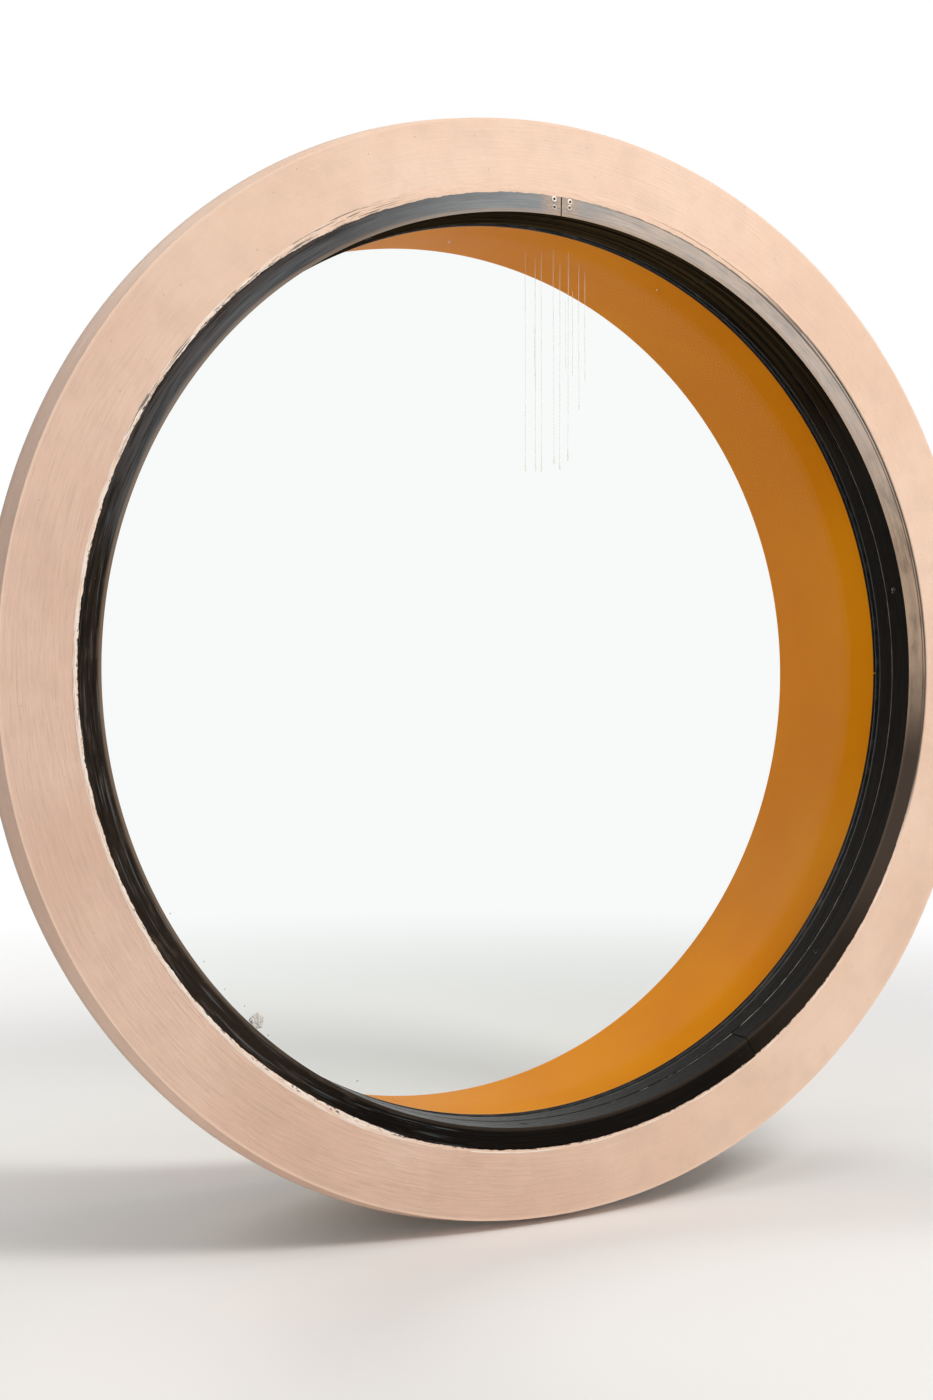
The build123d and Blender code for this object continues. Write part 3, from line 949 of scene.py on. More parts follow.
@dataclass(frozen=True)
class Sealant:
    """Gunned sealant under paint, with dirt lodged along it. Where it is exposed, it also holds painted shade
    in its joint, cracks and dips and painted highlights on its ridges; with a dark side, it holds painted
    shade there and painted light on the side across from it.
    """

    name: str
    base: Colour
    dirt_and_shade: Colour
    exposed: bool = False
    dirtiness: float = 0.9
    dark_side: float | None = None
    ridge_highlight: Colour = (0.94, 0.82, 0.72)
    rust: Colour = (0.24, 0.13, 0.07)
    shade: Colour = (0.012, 0.010, 0.008)
    lit_side: Colour = (0.66, 0.63, 0.55)
    outer_hair: Point = (0.6328, 0.6318)
    inner_half: Point = (0.6308, 0.6292)
    crack: tuple[Point, Point] = ((0.6338, 0.6346), (0.6362, 0.6354))
    rim: tuple[Point, Point] = ((0.6308, 0.6314), (0.6332, 0.6325))
    right: Patch = Patch(72.0, 0.72, 0.86)
    crack_shadowed: Patch = Patch(31.0, 0.945, 0.985)
    rimmed: Patch = Patch(155.0, 0.62, 0.80)
    left: Patch = Patch(262.0, 0.30, 0.60)
    bottom: Patch = Patch(168.0, 0.60, 0.85)
    upper_left: Patch = Patch(316.0, 0.88, 0.96)

    def wear_and_painted_light(self, s: Sheet, colour: Socket) -> Socket:
        """Cracks, tears and dirties the bead round the cover, and paints shade in its joint, cracks and dips,
        and highlights on its ridges.

        Args:
            s: The sealant's sheet.
            colour: The colour so far.

        Returns:
            The weathered colour.
        """
        # Painted shade in the open joint on the right.
        colour = s.over(colour, self.dirt_and_shade, s.step(s.radius, *self.outer_hair), s.near(self.right), 0.9)
        wave = s.strokes(12.0, 0.0)
        bent = s.plus(s.radius, s.times(wave, 0.006))
        # Painted shadow: a rust-coloured line in the crack at the upper right.
        crack = s.times(s.band(bent, *self.crack), s.near(self.crack_shadowed))
        colour = s.over(colour, self.rust, crack, s.step(s.strokes(30.0, 0.0, 2.0), 0.30, 0.44), 0.65)
        # Painted highlights: a pale rim at the lower right and a pale ridge on the left.
        rim = s.times(s.band(s.radius, *self.rim), s.near(self.rimmed))
        colour = s.over(colour, self.ridge_highlight, rim, s.step(wave, 0.40, 0.55, 0.2, 0.9))
        left = s.near(self.left)
        colour = s.over(colour, self.ridge_highlight, left, s.step(s.strokes(17.0, 800.0, 4.0, 0.6), 0.40, 0.56))
        # Painted shade in the dips of the inner half at the left and the bottom.
        dips = s.step(s.strokes(110.0, 420.0, 3.0, 0.6), 0.56, 0.61)
        low = s.times(s.math("MAXIMUM", left, s.near(self.bottom)), s.step(s.radius, *self.inner_half))
        colour = s.over(colour, self.dirt_and_shade, dips, low)
        torn = s.step(s.strokes(13.0, 800.0, 3.0, 0.6), 0.52, 0.58, 0.0, 0.85)
        return s.over(colour, self.dirt_and_shade, torn, s.near(self.upper_left))

    def make(self) -> Material:
        """Builds the sealant.

        Returns:
            The material.
        """
        s = Sheet.of(self.name)
        lumps, dabs = s.strokes(60.0, 260.0, 4.0, 0.6), s.strokes(95.0, 420.0)
        colour = s.over(self.base, self.dirt_and_shade, s.step(lumps, 0.45, 0.75, 0.0, 0.4 * self.dirtiness))
        colour = s.over(colour, self.dirt_and_shade, s.step(dabs, 0.66, 0.72, 0.0, self.dirtiness))
        if self.exposed:
            colour = self.wear_and_painted_light(s, colour)
        if self.dark_side is not None:
            # Painted shade on the dark side, and painted light on the side across from it.
            colour = s.over(colour, self.shade, s.near(Patch(self.dark_side, 0.1, 0.75)))
            colour = s.over(colour, self.lit_side, s.near(Patch(self.dark_side, -0.45, -0.95)))
        relief = s.plus(s.times(lumps, 1.5), dabs)
        return s.paint(
            Base_Color=colour, Roughness=s.step(dabs, 0.3, 0.7, 0.50, 0.72), Normal=s.bump(relief, 0.25)
        )


@dataclass(frozen=True)
class Lacquer:
    """Orange satin lacquer inside the reveal, bare board outside."""

    orange: Colour = (0.860, 0.320, 0.006)
    deep: Colour = (0.780, 0.265, 0.004)
    speck: Colour = (0.72, 0.58, 0.42)
    board: Colour = (0.50, 0.37, 0.24)
    board_dark: Colour = (0.33, 0.22, 0.13)
    outside: Point = (0.6407, 0.6423)

    def make(self) -> Material:
        """Builds the lacquer.

        Returns:
            The material.
        """
        s = Sheet.of("lining_lacquer")
        wide, rolled = s.noise(2.6, 3.0), s.noise(420.0, 3.0)
        grain = s.strokes(5.0, 700.0, 6.0, 0.7, 1.2)
        outside = s.step(s.radius, *self.outside)
        colour = s.over(self.deep, self.orange, s.step(wide, 0.35, 0.7))
        colour = s.over(colour, self.speck, s.dots(42.0, 0.03, 0.12), 0.6)
        board = s.over(self.board, self.board_dark, s.step(grain, 0.35, 0.72))
        colour = s.over(colour, board, outside)
        relief = s.plus(s.times(rolled, 0.10), s.times(s.noise(9.0, 2.0), 3.0), s.times(grain, outside, 0.9))
        roughness = s.plus(s.step(rolled, 0.3, 0.7, 0.26, 0.34), s.times(outside, 0.42))
        return s.paint(
            Base_Color=colour, Roughness=roughness, Specular_IOR_Level=0.01, Normal=s.bump(relief, 0.35)
        )


@dataclass(frozen=True)
class PaneGlass:
    """Clear float glass with a faint tint that lets lamps through."""

    tint: Colour = (0.93, 0.955, 0.94)
    bending: float = 1.18

    def make(self) -> Material:
        """Builds the glass.

        Returns:
            The material.
        """
        s = Sheet.of("pane_glass")
        tint, wave = (*self.tint, 1.0), s.bump(s.noise(3.0, 2.0), 0.06)
        glass = s.shader(
            Base_Color=tint, Roughness=0.0, IOR=self.bending, Transmission_Weight=1.0, Normal=wave
        )
        clear = s.put("ShaderNodeBsdfTransparent", {0: tint}).outputs[0]
        return s.finish(s.either(s.rays("Shadow", "Diffuse"), glass, clear))


@dataclass(frozen=True)
class DriedFilm:
    """Chalky residue that lets some light through."""

    name: str
    chalk: Colour
    cover: Point
    grain: float

    def make(self) -> Material:
        """Builds the film.

        Returns:
            The material.
        """
        s = Sheet.of(self.name)
        lumps = s.noise(self.grain, 4.0, 0.6)
        colour = s.over(self.chalk, tuple(c * 0.88 for c in self.chalk), s.step(lumps, 0.35, 0.7))
        alpha = s.step(lumps, 0.3, 0.7, *self.cover)
        return s.paint(Base_Color=colour, Roughness=0.75, Alpha=alpha, Normal=s.bump(lumps, 0.3))


# ---- Pieces


@dataclass
class Surround:
    """The cast ring round the window and the bead of filler at its bore.

    Each of its reaches says how the filler lies at a clock angle: the clock angle, the radii that it reaches
    inwards and outwards, and how high it stands. Below 0 it lies sunk in the joint.
    """

    front: float = -36.0
    bore: float = 632.0
    face: float = 720.0
    foot: float = 730.0
    arris: float = 1.5
    rebate: float = 645.3
    rebate_depth: float = 4.0
    dowel_circle: float = 690.0
    dowel_hole: float = 7.2
    dowel_depth: float = 24.2
    dowels: int = 8
    first_dowel: float = 22.5
    joint: Point = (629.7, 631.8)
    lap: float = 1.5
    spread: float = 6.0
    reaches: tuple[tuple[float, float, float, float], ...] = (
        (0.0, 625.2, 636.8, 0.34),
        (24.0, 625.6, 636.4, 0.34),
        (38.0, 628.4, 635.4, 0.20),
        (48.0, 629.75, 631.75, -1.8),
        (98.0, 629.75, 631.75, -1.8),
        (112.0, 629.0, 632.8, 0.14),
        (198.0, 628.6, 633.2, 0.24),
        (207.0, 625.8, 635.0, 0.42),
        (216.0, 626.6, 634.4, 0.80),
        (226.0, 628.6, 634.2, 0.95),
        (290.0, 628.4, 634.0, 0.95),
        (318.0, 627.8, 632.8, 0.60),
        (334.0, 625.4, 637.5, 0.45),
        (360.0, 625.2, 636.8, 0.34),
    )

    def uneven(self, clock: float, radius: float, y: float) -> Point:
        """Lifts and dips the ring's face, and lets its outer edge wander.

        Args:
            clock: A vertex's clock angle.
            radius: Its radius.
            y: Its place along the axis.

        Returns:
            Its new radius and place.
        """
        free = ease(y, -self.rebate_depth, -self.rebate_depth - 14.0)
        outer = ease(radius, self.bore + 8.0, self.face - 8.0)
        lift = 0.45 * ripple(clock, 5.0, 3.1, radius / 45.0) + 0.16 * ripple(clock, 22.0, 1.7, radius / 16.0)
        wander = 0.55 * ripple(clock, 6.0, 8.3) + 0.22 * ripple(clock, 26.0, 5.2)
        return radius + free * outer * wander, y + free * lift

    def ring(self) -> Piece:
        """The splayed ring, slightly uneven as cast and painted by hand.

        Returns:
            The ring, drilled for its dowels.
        """
        face = along((self.bore, self.front), (self.face, self.front), 12)
        side = along((self.face, self.front), (self.foot, 0.0), 4)
        step = [(self.rebate, 0.0), (self.rebate, -self.rebate_depth), (self.bore, -self.rebate_depth)]
        rounds = {0: (self.arris, 3), len(face): (self.arris, 4)}
        ring = Section([*face, *side, (self.foot, 0.0), *step], rounds).shaped("surround_ring", self.uneven)
        pitch = 360.0 / self.dowels
        cut(ring, copies_at(self.drill(), [self.first_dowel + pitch * i for i in range(self.dowels)]))
        smooth(ring)
        return ring

    def drill(self) -> Piece:
        """The drill for a dowel's hole.

        Returns:
            The drill, at 3 o'clock.
        """
        hole, depth = self.dowel_hole, -self.dowel_depth
        drill = Section([(0.0, 1.0), (hole, 1.0), (hole, depth), (0.0, depth)]).turned("drill", 40)
        drill.location.x = self.dowel_circle * MM
        settle(drill)
        return drill

    def reach(self, clock: float) -> tuple[float, float, float]:
        """How the paint lies over the joint, which it fills on the left and top and has left on the right.

        Args:
            clock: The clock angle.

        Returns:
            The radius that it reaches inwards, the radius that it reaches outwards, and how high it stands.
        """
        marks = self.reaches
        for (start, *low), (end, *high) in zip(marks, marks[1:]):
            if start <= clock <= end:
                t = ease(clock, start, end)
                return tuple(a + (b - a) * t for a, b in zip(low, high))
        return tuple(marks[0][1:])

    def ragged(self, clock: float, radius: float, y: float) -> Point:
        """Spreads the bead to its reach, tears its inner edge and lifts or sinks its face.

        Args:
            clock: A vertex's clock angle.
            radius: Its radius.
            y: Its place along the axis.

        Returns:
            Its new radius and place.
        """
        top, (inner, outer) = self.front, self.joint
        if y > top + 1.0:
            return radius, y
        low, high, stand = self.reach(clock)
        part = (radius - (inner - self.lap)) / self.spread
        torn = 0.8 * math.floor(3.5 * ripple(clock, 42.0, 4.4)) / 3.5 + 0.7 * ripple(clock, 120.0, 6.1)
        low += torn * min(1.0, max(0.0, inner - low))
        high += 0.5 * ripple(clock, 50.0, 8.8) * min(1.0, max(0.0, high - outer))
        lump = 0.45 * ripple(clock, 60.0, 9.4, radius) + 0.30 * ripple(clock, 17.0, 2.2)
        flat = math.sin(math.pi * part) ** 0.6 if 0.0 < part < 1.0 else 0.0
        ends = 0.06 if stand > 0.0 else stand
        height = ends + (stand + lump * min(1.0, abs(stand) * 2.0) - ends) * flat
        return low + (high - low) * part, top - height

    def filler(self) -> Piece:
        """The ragged bead of filler and paint between the cover's edge and the bore.

        Returns:
            The bead, sunk into the joint where it has broken away.
        """
        top, (inner, outer) = self.front, self.joint
        across = [i / 12.0 for i in range(13)]
        swell = [top - 0.8 * math.sin(math.pi * (0.12 + 0.76 * t)) for t in across]
        over = [(inner - self.lap + self.spread * t, y) for t, y in zip(across, swell)]
        corners = [*over, (outer, top + 2.4), (outer, top + 13.5), (inner, top + 13.5), (inner, top + 1.2)]
        return Section(corners).shaped("perimeter_bead", self.ragged, 1800, 60.0)

    def build(self, paint: Material, filler: Material) -> None:
        """Makes and dresses the ring and its bead."""
        mount(self.ring(), Slot.SURROUND, paint, "surround")
        mount(self.filler(), Slot.CREAM_SEALANT, filler, "perimeter_sealant")


@dataclass
class CrossScrew:
    """A countersunk screw with a cross recess, its axis a radius of the window."""

    head_at: float
    head_radius: float
    head_height: float
    shank_radius: float
    tip_at: float
    point: float
    y: float
    steps: int = 40
    drill_inwards: float = 4.0
    drill_outwards: float = 8.0

    def model(self) -> Piece:
        """Makes the screw.

        Returns:
            The screw, at 3 o'clock.
        """
        h, y = self.head_at, self.y
        corners = [
            (h - 0.15, y),
            (h - 0.10, y + self.head_radius * 0.55),
            (h, y + self.head_radius - 0.25),
            (h + 0.25, y + self.head_radius),
            (h + self.head_height, y + self.shank_radius),
            (self.tip_at - self.point, y + self.shank_radius),
            (self.tip_at, y + 0.02),
            (self.tip_at, y),
        ]
        screw = Section(corners).turned("screw", self.steps, axis=Axis.RADIUS, y=y)
        for turn in (0.0, 90.0):
            cut(screw, [self.blade(turn)])
        smooth(screw)
        return screw

    def blade(self, turn: float) -> Piece:
        """One tapered blade of the driver that pressed the recess.

        Args:
            turn: The angle in degrees that it is turned about the screw's axis.

        Returns:
            The blade.
        """
        deselect()
        width, depth, thick = self.head_radius * 1.15, self.head_height * 0.75, self.head_radius * 0.2
        place = ((self.head_at + depth / 2 - 0.5) * MM, self.y * MM, 0.0)
        bpy.ops.mesh.primitive_cube_add(
            size=1.0, location=place, scale=((depth + 1.0) * MM, width * MM, thick * MM)
        )
        blade = bpy.context.object
        settle(blade)
        bpy.ops.object.mode_set(mode="EDIT")
        select_vertices(blade, lambda co: co.x > place[0])
        bpy.ops.transform.resize(value=(1.0, 0.45, 0.6), center_override=place)
        bpy.ops.object.mode_set(mode="OBJECT")
        seat = Matrix.Translation((0.0, self.y * MM, 0.0))
        blade.matrix_world = seat @ Matrix.Rotation(math.radians(turn), 4, "X") @ seat.inverted()
        settle(blade)
        return blade

    def bore_into(self, piece: Piece, clocks: Iterable[float], clearance: float) -> None:
        """Drills and countersinks a piece for the screw.

        Args:
            piece: The piece.
            clocks: The clock angles of the holes.
            clearance: How much wider than the screw they are all round.
        """
        h, y = self.head_at, self.y
        rim, shank = self.head_radius + clearance, self.shank_radius + clearance
        corners = [
            (h - self.drill_inwards, y),
            (h - self.drill_inwards, y + rim),
            (h, y + rim),
            (h + self.head_height, y + shank),
            (h + self.drill_outwards, y + shank),
            (h + self.drill_outwards, y),
        ]
        cut(piece, copies_at(Section(corners).turned("drill", self.steps, axis=Axis.RADIUS, y=y), clocks))

    def set_at(self, clocks: Iterable[float], name: str) -> Piece:
        """Copies the screw to its clock angles as one piece."""
        return joined(copies_at(self.model(), clocks), name)


@dataclass
class Cover:
    """The two bent lengths of cover angle, the rivets at their upper seam and the screws in their return."""

    front: float = -36.0
    thickness: float = 3.0
    sight: float = 600.0
    outer: float = 629.5
    return_back: float = 1.0
    riveted_seam: float = 1.3
    butted_seam: float = 148.75
    seam_gap: float = 1.6
    sight_round: Round = (2.6, 6)
    outer_round: Round = (1.0, 3)
    steps_a_degree: float = 2.5
    clearance: float = 0.2
    rivet_places: tuple[Point, ...] = ((620.75, -11.2), (620.35, 12.7), (609.95, -10.8), (612.35, 11.9))
    screw: CrossScrew = field(default_factory=lambda: CrossScrew(600.2, 5.0, 2.5, 2.5, 670.2, 6.0, -16.0))
    screw_clocks: tuple[float, ...] = (25.0, 78.3, 132.0, 183.0, 234.0, 285.0, 335.0)

    def bent(self, clock: float, radius: float, y: float) -> Point:
        """The slight dish and wander of a bent bar, and the kink where its plain end was pulled down.

        Args:
            clock: A vertex's clock angle.
            radius: Its radius.
            y: Its place along the axis.

        Returns:
            Its new radius and place.
        """
        rise = 0.10 * ripple(clock, 9.0, 1.3) + 0.05 * ripple(clock, 26.0, 6.6, radius / 12.0)
        if y < self.front + self.thickness + 0.5:
            rise += 0.10 * math.sin(math.pi * (radius - self.sight) / (self.outer - self.sight))
        near = ease(away(clock, self.butted_seam), 2.4, 0.0)
        lift, pull = (0.55, 0.5) if clock < self.butted_seam else (-0.45, -0.2)
        return radius - near * pull, y + rise + near * lift

    def length(self, name: str, start: float, end: float) -> Piece:
        """One bent length between two seams.

        Args:
            name: The piece's name.
            start: The clock angle of the seam where it starts.
            end: The clock angle of the seam where it ends.

        Returns:
            The length, drilled for its screws.
        """
        half_gap = math.degrees(self.seam_gap / 2 / self.outer)
        arc = end - start - 2 * half_gap
        back, inner = self.front + self.thickness, self.sight + self.thickness
        face = along((self.sight, self.front), (self.outer, self.front), 7)
        leg = [(self.outer, self.front), (self.outer, back), (inner, back), (inner, self.return_back)]
        inside = along((self.sight, self.return_back), (self.sight, self.front), 4)
        section = Section([*face, *leg, *inside], {0: self.sight_round, len(face): self.outer_round})
        piece = section.turned(name, round(arc * self.steps_a_degree), arc)
        turn_to(piece, start + half_gap)
        self.screw.bore_into(piece, [c for c in self.screw_clocks if start < c < end], self.clearance)
        reshape(piece, self.bent)
        smooth(piece)
        return piece

    def rivets(self) -> Piece:
        """The four pulled rivets at the upper seam, each a dome with the hollow that its pin left.

        Returns:
            The rivets.
        """
        corners = [
            (0.0, 0.15),
            (1.75, 0.05),
            (1.95, -0.85),
            (2.15, -1.38),
            (2.45, -1.50),
            (2.95, -1.36),
            (3.45, -0.98),
            (3.82, -0.48),
            (4.00, 0.0),
            (2.0, 0.05),
            (2.0, 8.0),
            (0.0, 8.0),
        ]
        places = [Vector((radius, self.front, -side)) * MM for radius, side in self.rivet_places]
        rivet = Section(corners).turned("rivet", 40)
        return joined(copies_at(rivet, [self.riveted_seam] * len(places), places), "seam_rivet_set")

    def build(self, paint: Material, rivet_metal: Material, steel: Material) -> None:
        """Makes and dresses both lengths, the rivets and the screws.

        Args:
            paint: The lengths' paint.
            rivet_metal: The rivets' metal.
            steel: The screws' finish.
        """
        for name, node, start, end in (
            ("cover_length_short", "cover_short", self.riveted_seam, self.butted_seam),
            ("cover_length_long", "cover_long", self.butted_seam, self.riveted_seam + 360.0),
        ):
            mount(self.length(name, start, end), Slot.COVER, paint, node)
        mount(self.rivets(), Slot.RIVET, rivet_metal, "seam_rivets")
        mount(self.screw.set_at(self.screw_clocks, "frame_screw_set"), Slot.SCREW, steel, "frame_screws")


@dataclass
class StopRing:
    """The channel that the glass is pressed against, and the grey line in front of it."""

    inner: float = 600.0
    outer: float = 625.7
    front: float = 4.0
    back: float = 28.0
    wall: float = 2.5
    sight_round: Round = (1.25, 4)
    line: Point = (603.6, 608.6)
    line_front: float = 1.0

    def channel(self) -> Piece:
        """The rolled channel.

        Returns:
            The channel.
        """
        w = self.wall
        corners = [
            (self.inner, self.front),
            (self.outer, self.front),
            (self.outer, self.front + w),
            (self.inner + w, self.front + w),
            (self.inner + w, self.back - w),
            (self.outer, self.back - w),
            (self.outer, self.back),
            (self.inner, self.back),
        ]
        return Section(corners, {0: self.sight_round}).shaped(
            "stop_ring",
            lambda clock, radius, y: (
                radius + 0.12 * ripple(clock, 8.0, 4.1),
                y + 0.08 * ripple(clock, 7.0, 2.9),
            ),
        )

    def joint(self) -> Piece:
        """The line of grey sealant, pressed in by hand.

        Returns:
            The line.
        """
        inner, outer = self.line
        front = [(inner, self.line_front), (outer, self.line_front), (outer, self.front)]
        inside = along((inner, self.front), (inner, self.line_front), 3)
        return Section([*front, *inside]).shaped(
            "joint_line",
            lambda clock, radius, y: (
                radius - (2.3 + 0.5 * ripple(clock, 55.0, 3.3, y)) * (radius < inner + 0.1),
                y,
            ),
            1080,
            50.0,
        )

    def build(self, paint: Material, sealant: Material) -> None:
        """Makes and dresses the channel and the line."""
        mount(self.channel(), Slot.COVER, paint, "stop_channel")
        mount(self.joint(), Slot.GREY_SEALANT, sealant, "joint_cord")


@dataclass
class Glazing:
    """The pane between its rubbers, with the marks that rain and work have left on it.

    Each of its runs is a drip: its place to the right of the centre at its top, the heights of its top and
    its end above the centre, and how far it goes to the right on its way down. Each of its spots is a place
    to the right of the centre and above it, a size and a height.
    """

    radius: float = 617.0
    front: float = 31.0
    back: float = 41.0
    arris: float = 1.0
    rubber_inner: float = 600.6
    rubber_width: float = 13.4
    rubber: float = 3.0
    lip: float = 1.2
    film: float = 0.16
    clot_at: Point = (-386.0, -441.0)
    clot_size: float = 8.6
    clot_lumps: int = 26
    runs: tuple[tuple[float, float, float, float], ...] = (
        (-4.0, 566.0, 269.0, 0.0),
        (11.0, 560.0, 270.0, 0.6),
        (9.6, 470.0, 399.6, 1.0),
        (20.4, 570.0, 270.0, 0.3),
        (38.8, 574.0, 281.0, 1.4),
        (49.4, 556.0, 274.5, -0.4),
        (57.8, 505.0, 411.7, 0.8),
        (62.6, 572.0, 287.5, -0.8),
        (68.9, 520.0, 404.3, 0.2),
        (78.6, 560.0, 358.5, 0.9),
        (88.4, 548.0, 397.6, 0.3),
    )
    spots: tuple[tuple[float, float, float, float], ...] = (
        (-371.0, -460.0, 1.3, 0.5),
        (-402.0, -421.0, 1.1, 0.5),
        (-340.0, -497.0, 1.2, 0.5),
        (-428.0, -398.0, 0.9, 0.4),
        (-455.0, -362.0, 1.0, 0.4),
        (-304.0, -514.0, 0.9, 0.4),
        (-498.0, -300.0, 1.1, 0.4),
        (-118.0, 566.0, 1.0, 0.4),
        (205.0, 536.0, 0.9, 0.4),
        (-250.0, -530.0, 1.3, 0.5),
    )

    def pane(self) -> Piece:
        """The round pane with a ground edge.

        Returns:
            The pane.
        """
        deselect()
        bpy.ops.mesh.primitive_cylinder_add(
            vertices=ROUND,
            radius=self.radius * MM,
            depth=(self.back - self.front) * MM,
            location=(0.0, (self.front + self.back) / 2 * MM, 0.0),
            rotation=(math.pi / 2, 0.0, 0.0),
        )
        pane = name_piece(bpy.context.object, "round_pane")
        settle(pane)
        select_edges(pane, lambda run: abs(run.y) < TOUCH)
        bpy.ops.mesh.bevel(offset=self.arris * MM, segments=1)
        bpy.ops.object.mode_set(mode="OBJECT")
        close_up(pane)
        smooth(pane, 25.0)
        return pane

    def gasket(self, name: str, front: float, lip_front: bool) -> Piece:
        """A flat rubber ring whose inner lip is cut back at one face and wanders a little.

        Args:
            name: The piece's name.
            front: The place of its front along the axis.
            lip_front: Whether the lip is cut back at its front.

        Returns:
            The gasket.
        """
        inner, outer, back = self.rubber_inner, self.rubber_inner + self.rubber_width, front + self.rubber
        lipped, edge = inner + self.lip, [(outer, front), (outer, back)]
        if lip_front:
            corners = [(lipped, front), *edge, (inner, back), (inner, front + self.lip)]
        else:
            corners = [(inner, front), *edge, (lipped, back), (inner, back - self.lip)]
        return Section(corners).shaped(
            name,
            lambda clock, radius, y: (radius + 0.35 * ripple(clock, 30.0, 5.5) * (radius < inner + 2.0), y),
        )

    def drip(self, number: int, x: float, top: float, bottom: float, lean: float) -> Piece:
        """One dried drip that ran straight down the outside of the pane, wider at its end.

        Args:
            number: Tells this drip's wander from the others'.
            x: Its place to the right of the centre at its top.
            top: The height of its top above the centre.
            bottom: The height of its end.
            lean: How far it goes to the right on its way down.

        Returns:
            The drip, a thin strip on the pane.
        """
        deselect()
        length = top - bottom
        place = (x * MM, (self.front - self.film / 2) * MM, (top + bottom) / 2 * MM)
        bpy.ops.mesh.primitive_cube_add(size=MM, location=place, scale=(1.0, self.film + 0.04, length))
        strip = name_piece(bpy.context.object, "drip")
        settle(strip)
        select_edges(strip, lambda run: abs(run.z) > MM)
        bpy.ops.mesh.subdivide(number_cuts=max(12, round(length / 5.0)))
        bpy.ops.object.mode_set(mode="OBJECT")
        for v in strip.data.vertices:
            down = (top - v.co.z / MM) / length
            angle = down * 57.0
            blob = 0.8 * ease(down, 0.95, 0.985) * ease(down, 1.0, 0.99)
            width = 0.42 + 0.28 * ripple(angle, 9.0, number) + blob
            width *= 0.5 + 0.5 * ease(down, 0.0, 0.12)
            middle = x + lean * down + 0.35 * ripple(angle, 4.0, number + 3.3)
            v.co.x = (middle + math.copysign(width, v.co.x / MM - x)) * MM
        smooth(strip, 60.0)
        return strip

    def clot(self, number: int, x: float, z: float, size: float, height: float) -> Piece:
        """One uneven lump of dried filler or paint on the pane.

        Args:
            number: Tells this lump's shape from the others'.
            x: Its place to the right of the centre.
            z: Its place above the centre.
            size: Its radius on the pane.
            height: How far it stands out.

        Returns:
            The lump.
        """
        deselect()
        centre = Vector((x, self.front, z)) * MM
        bpy.ops.mesh.primitive_ico_sphere_add(
            subdivisions=3 if size > 1.6 else 2, radius=size * MM, location=centre
        )
        clot = bpy.context.object
        settle(clot)
        for v in clot.data.vertices:
            way = v.co - centre
            lump = 1.0 + 0.55 * noise.noise(way / MM * 0.9 + Vector((number * 3.7, 0.0, 1.3)))
            v.co = centre + Vector((way.x, way.y * height / size, way.z)) * lump
            v.co.y = min(v.co.y, (self.front + 0.02) * MM)
        return clot

    def residue(self) -> Piece:
        """A clot of dried filler at the lower left, and small spots of paint.

        Returns:
            The clot and the spots.
        """
        lumps = list(self.spots)
        for number in range(self.clot_lumps):
            turn, out = number * 2.4, self.clot_size * math.sqrt((number + 0.5) / self.clot_lumps)
            size = 1.9 + 0.9 * (1.0 + noise.noise(Vector((number * 1.9, 0.4, 2.2))))
            x, z = self.clot_at
            lumps.append((x + 0.85 * out * math.sin(turn), z + out * math.cos(turn), size, size * 0.62))
        piece = joined([self.clot(number, *lump) for number, lump in enumerate(lumps)], "pane_residue")
        smooth(piece, 60.0)
        return piece

    def build(self, glass: Material, rubber: Material, film: Material, chalk: Material) -> None:
        """Makes and dresses the pane, its rubbers and its marks.

        Args:
            glass: The pane's finish.
            rubber: The gaskets' finish.
            film: The drips' finish.
            chalk: The finish of the clot and the spots.
        """
        mount(self.pane(), Slot.PANE, glass, "glass_pane")
        outer = self.gasket("outer_rubber", self.front - self.rubber, True)
        mount(outer, Slot.RUBBER, rubber, "outer_gasket")
        mount(self.gasket("inner_rubber", self.back, False), Slot.RUBBER, rubber, "inner_gasket")
        drips = joined([self.drip(number, *run) for number, run in enumerate(self.runs)], "pane_drips")
        mount(drips, Slot.PANE, film)
        mount(self.residue(), Slot.CREAM_SEALANT, chalk)


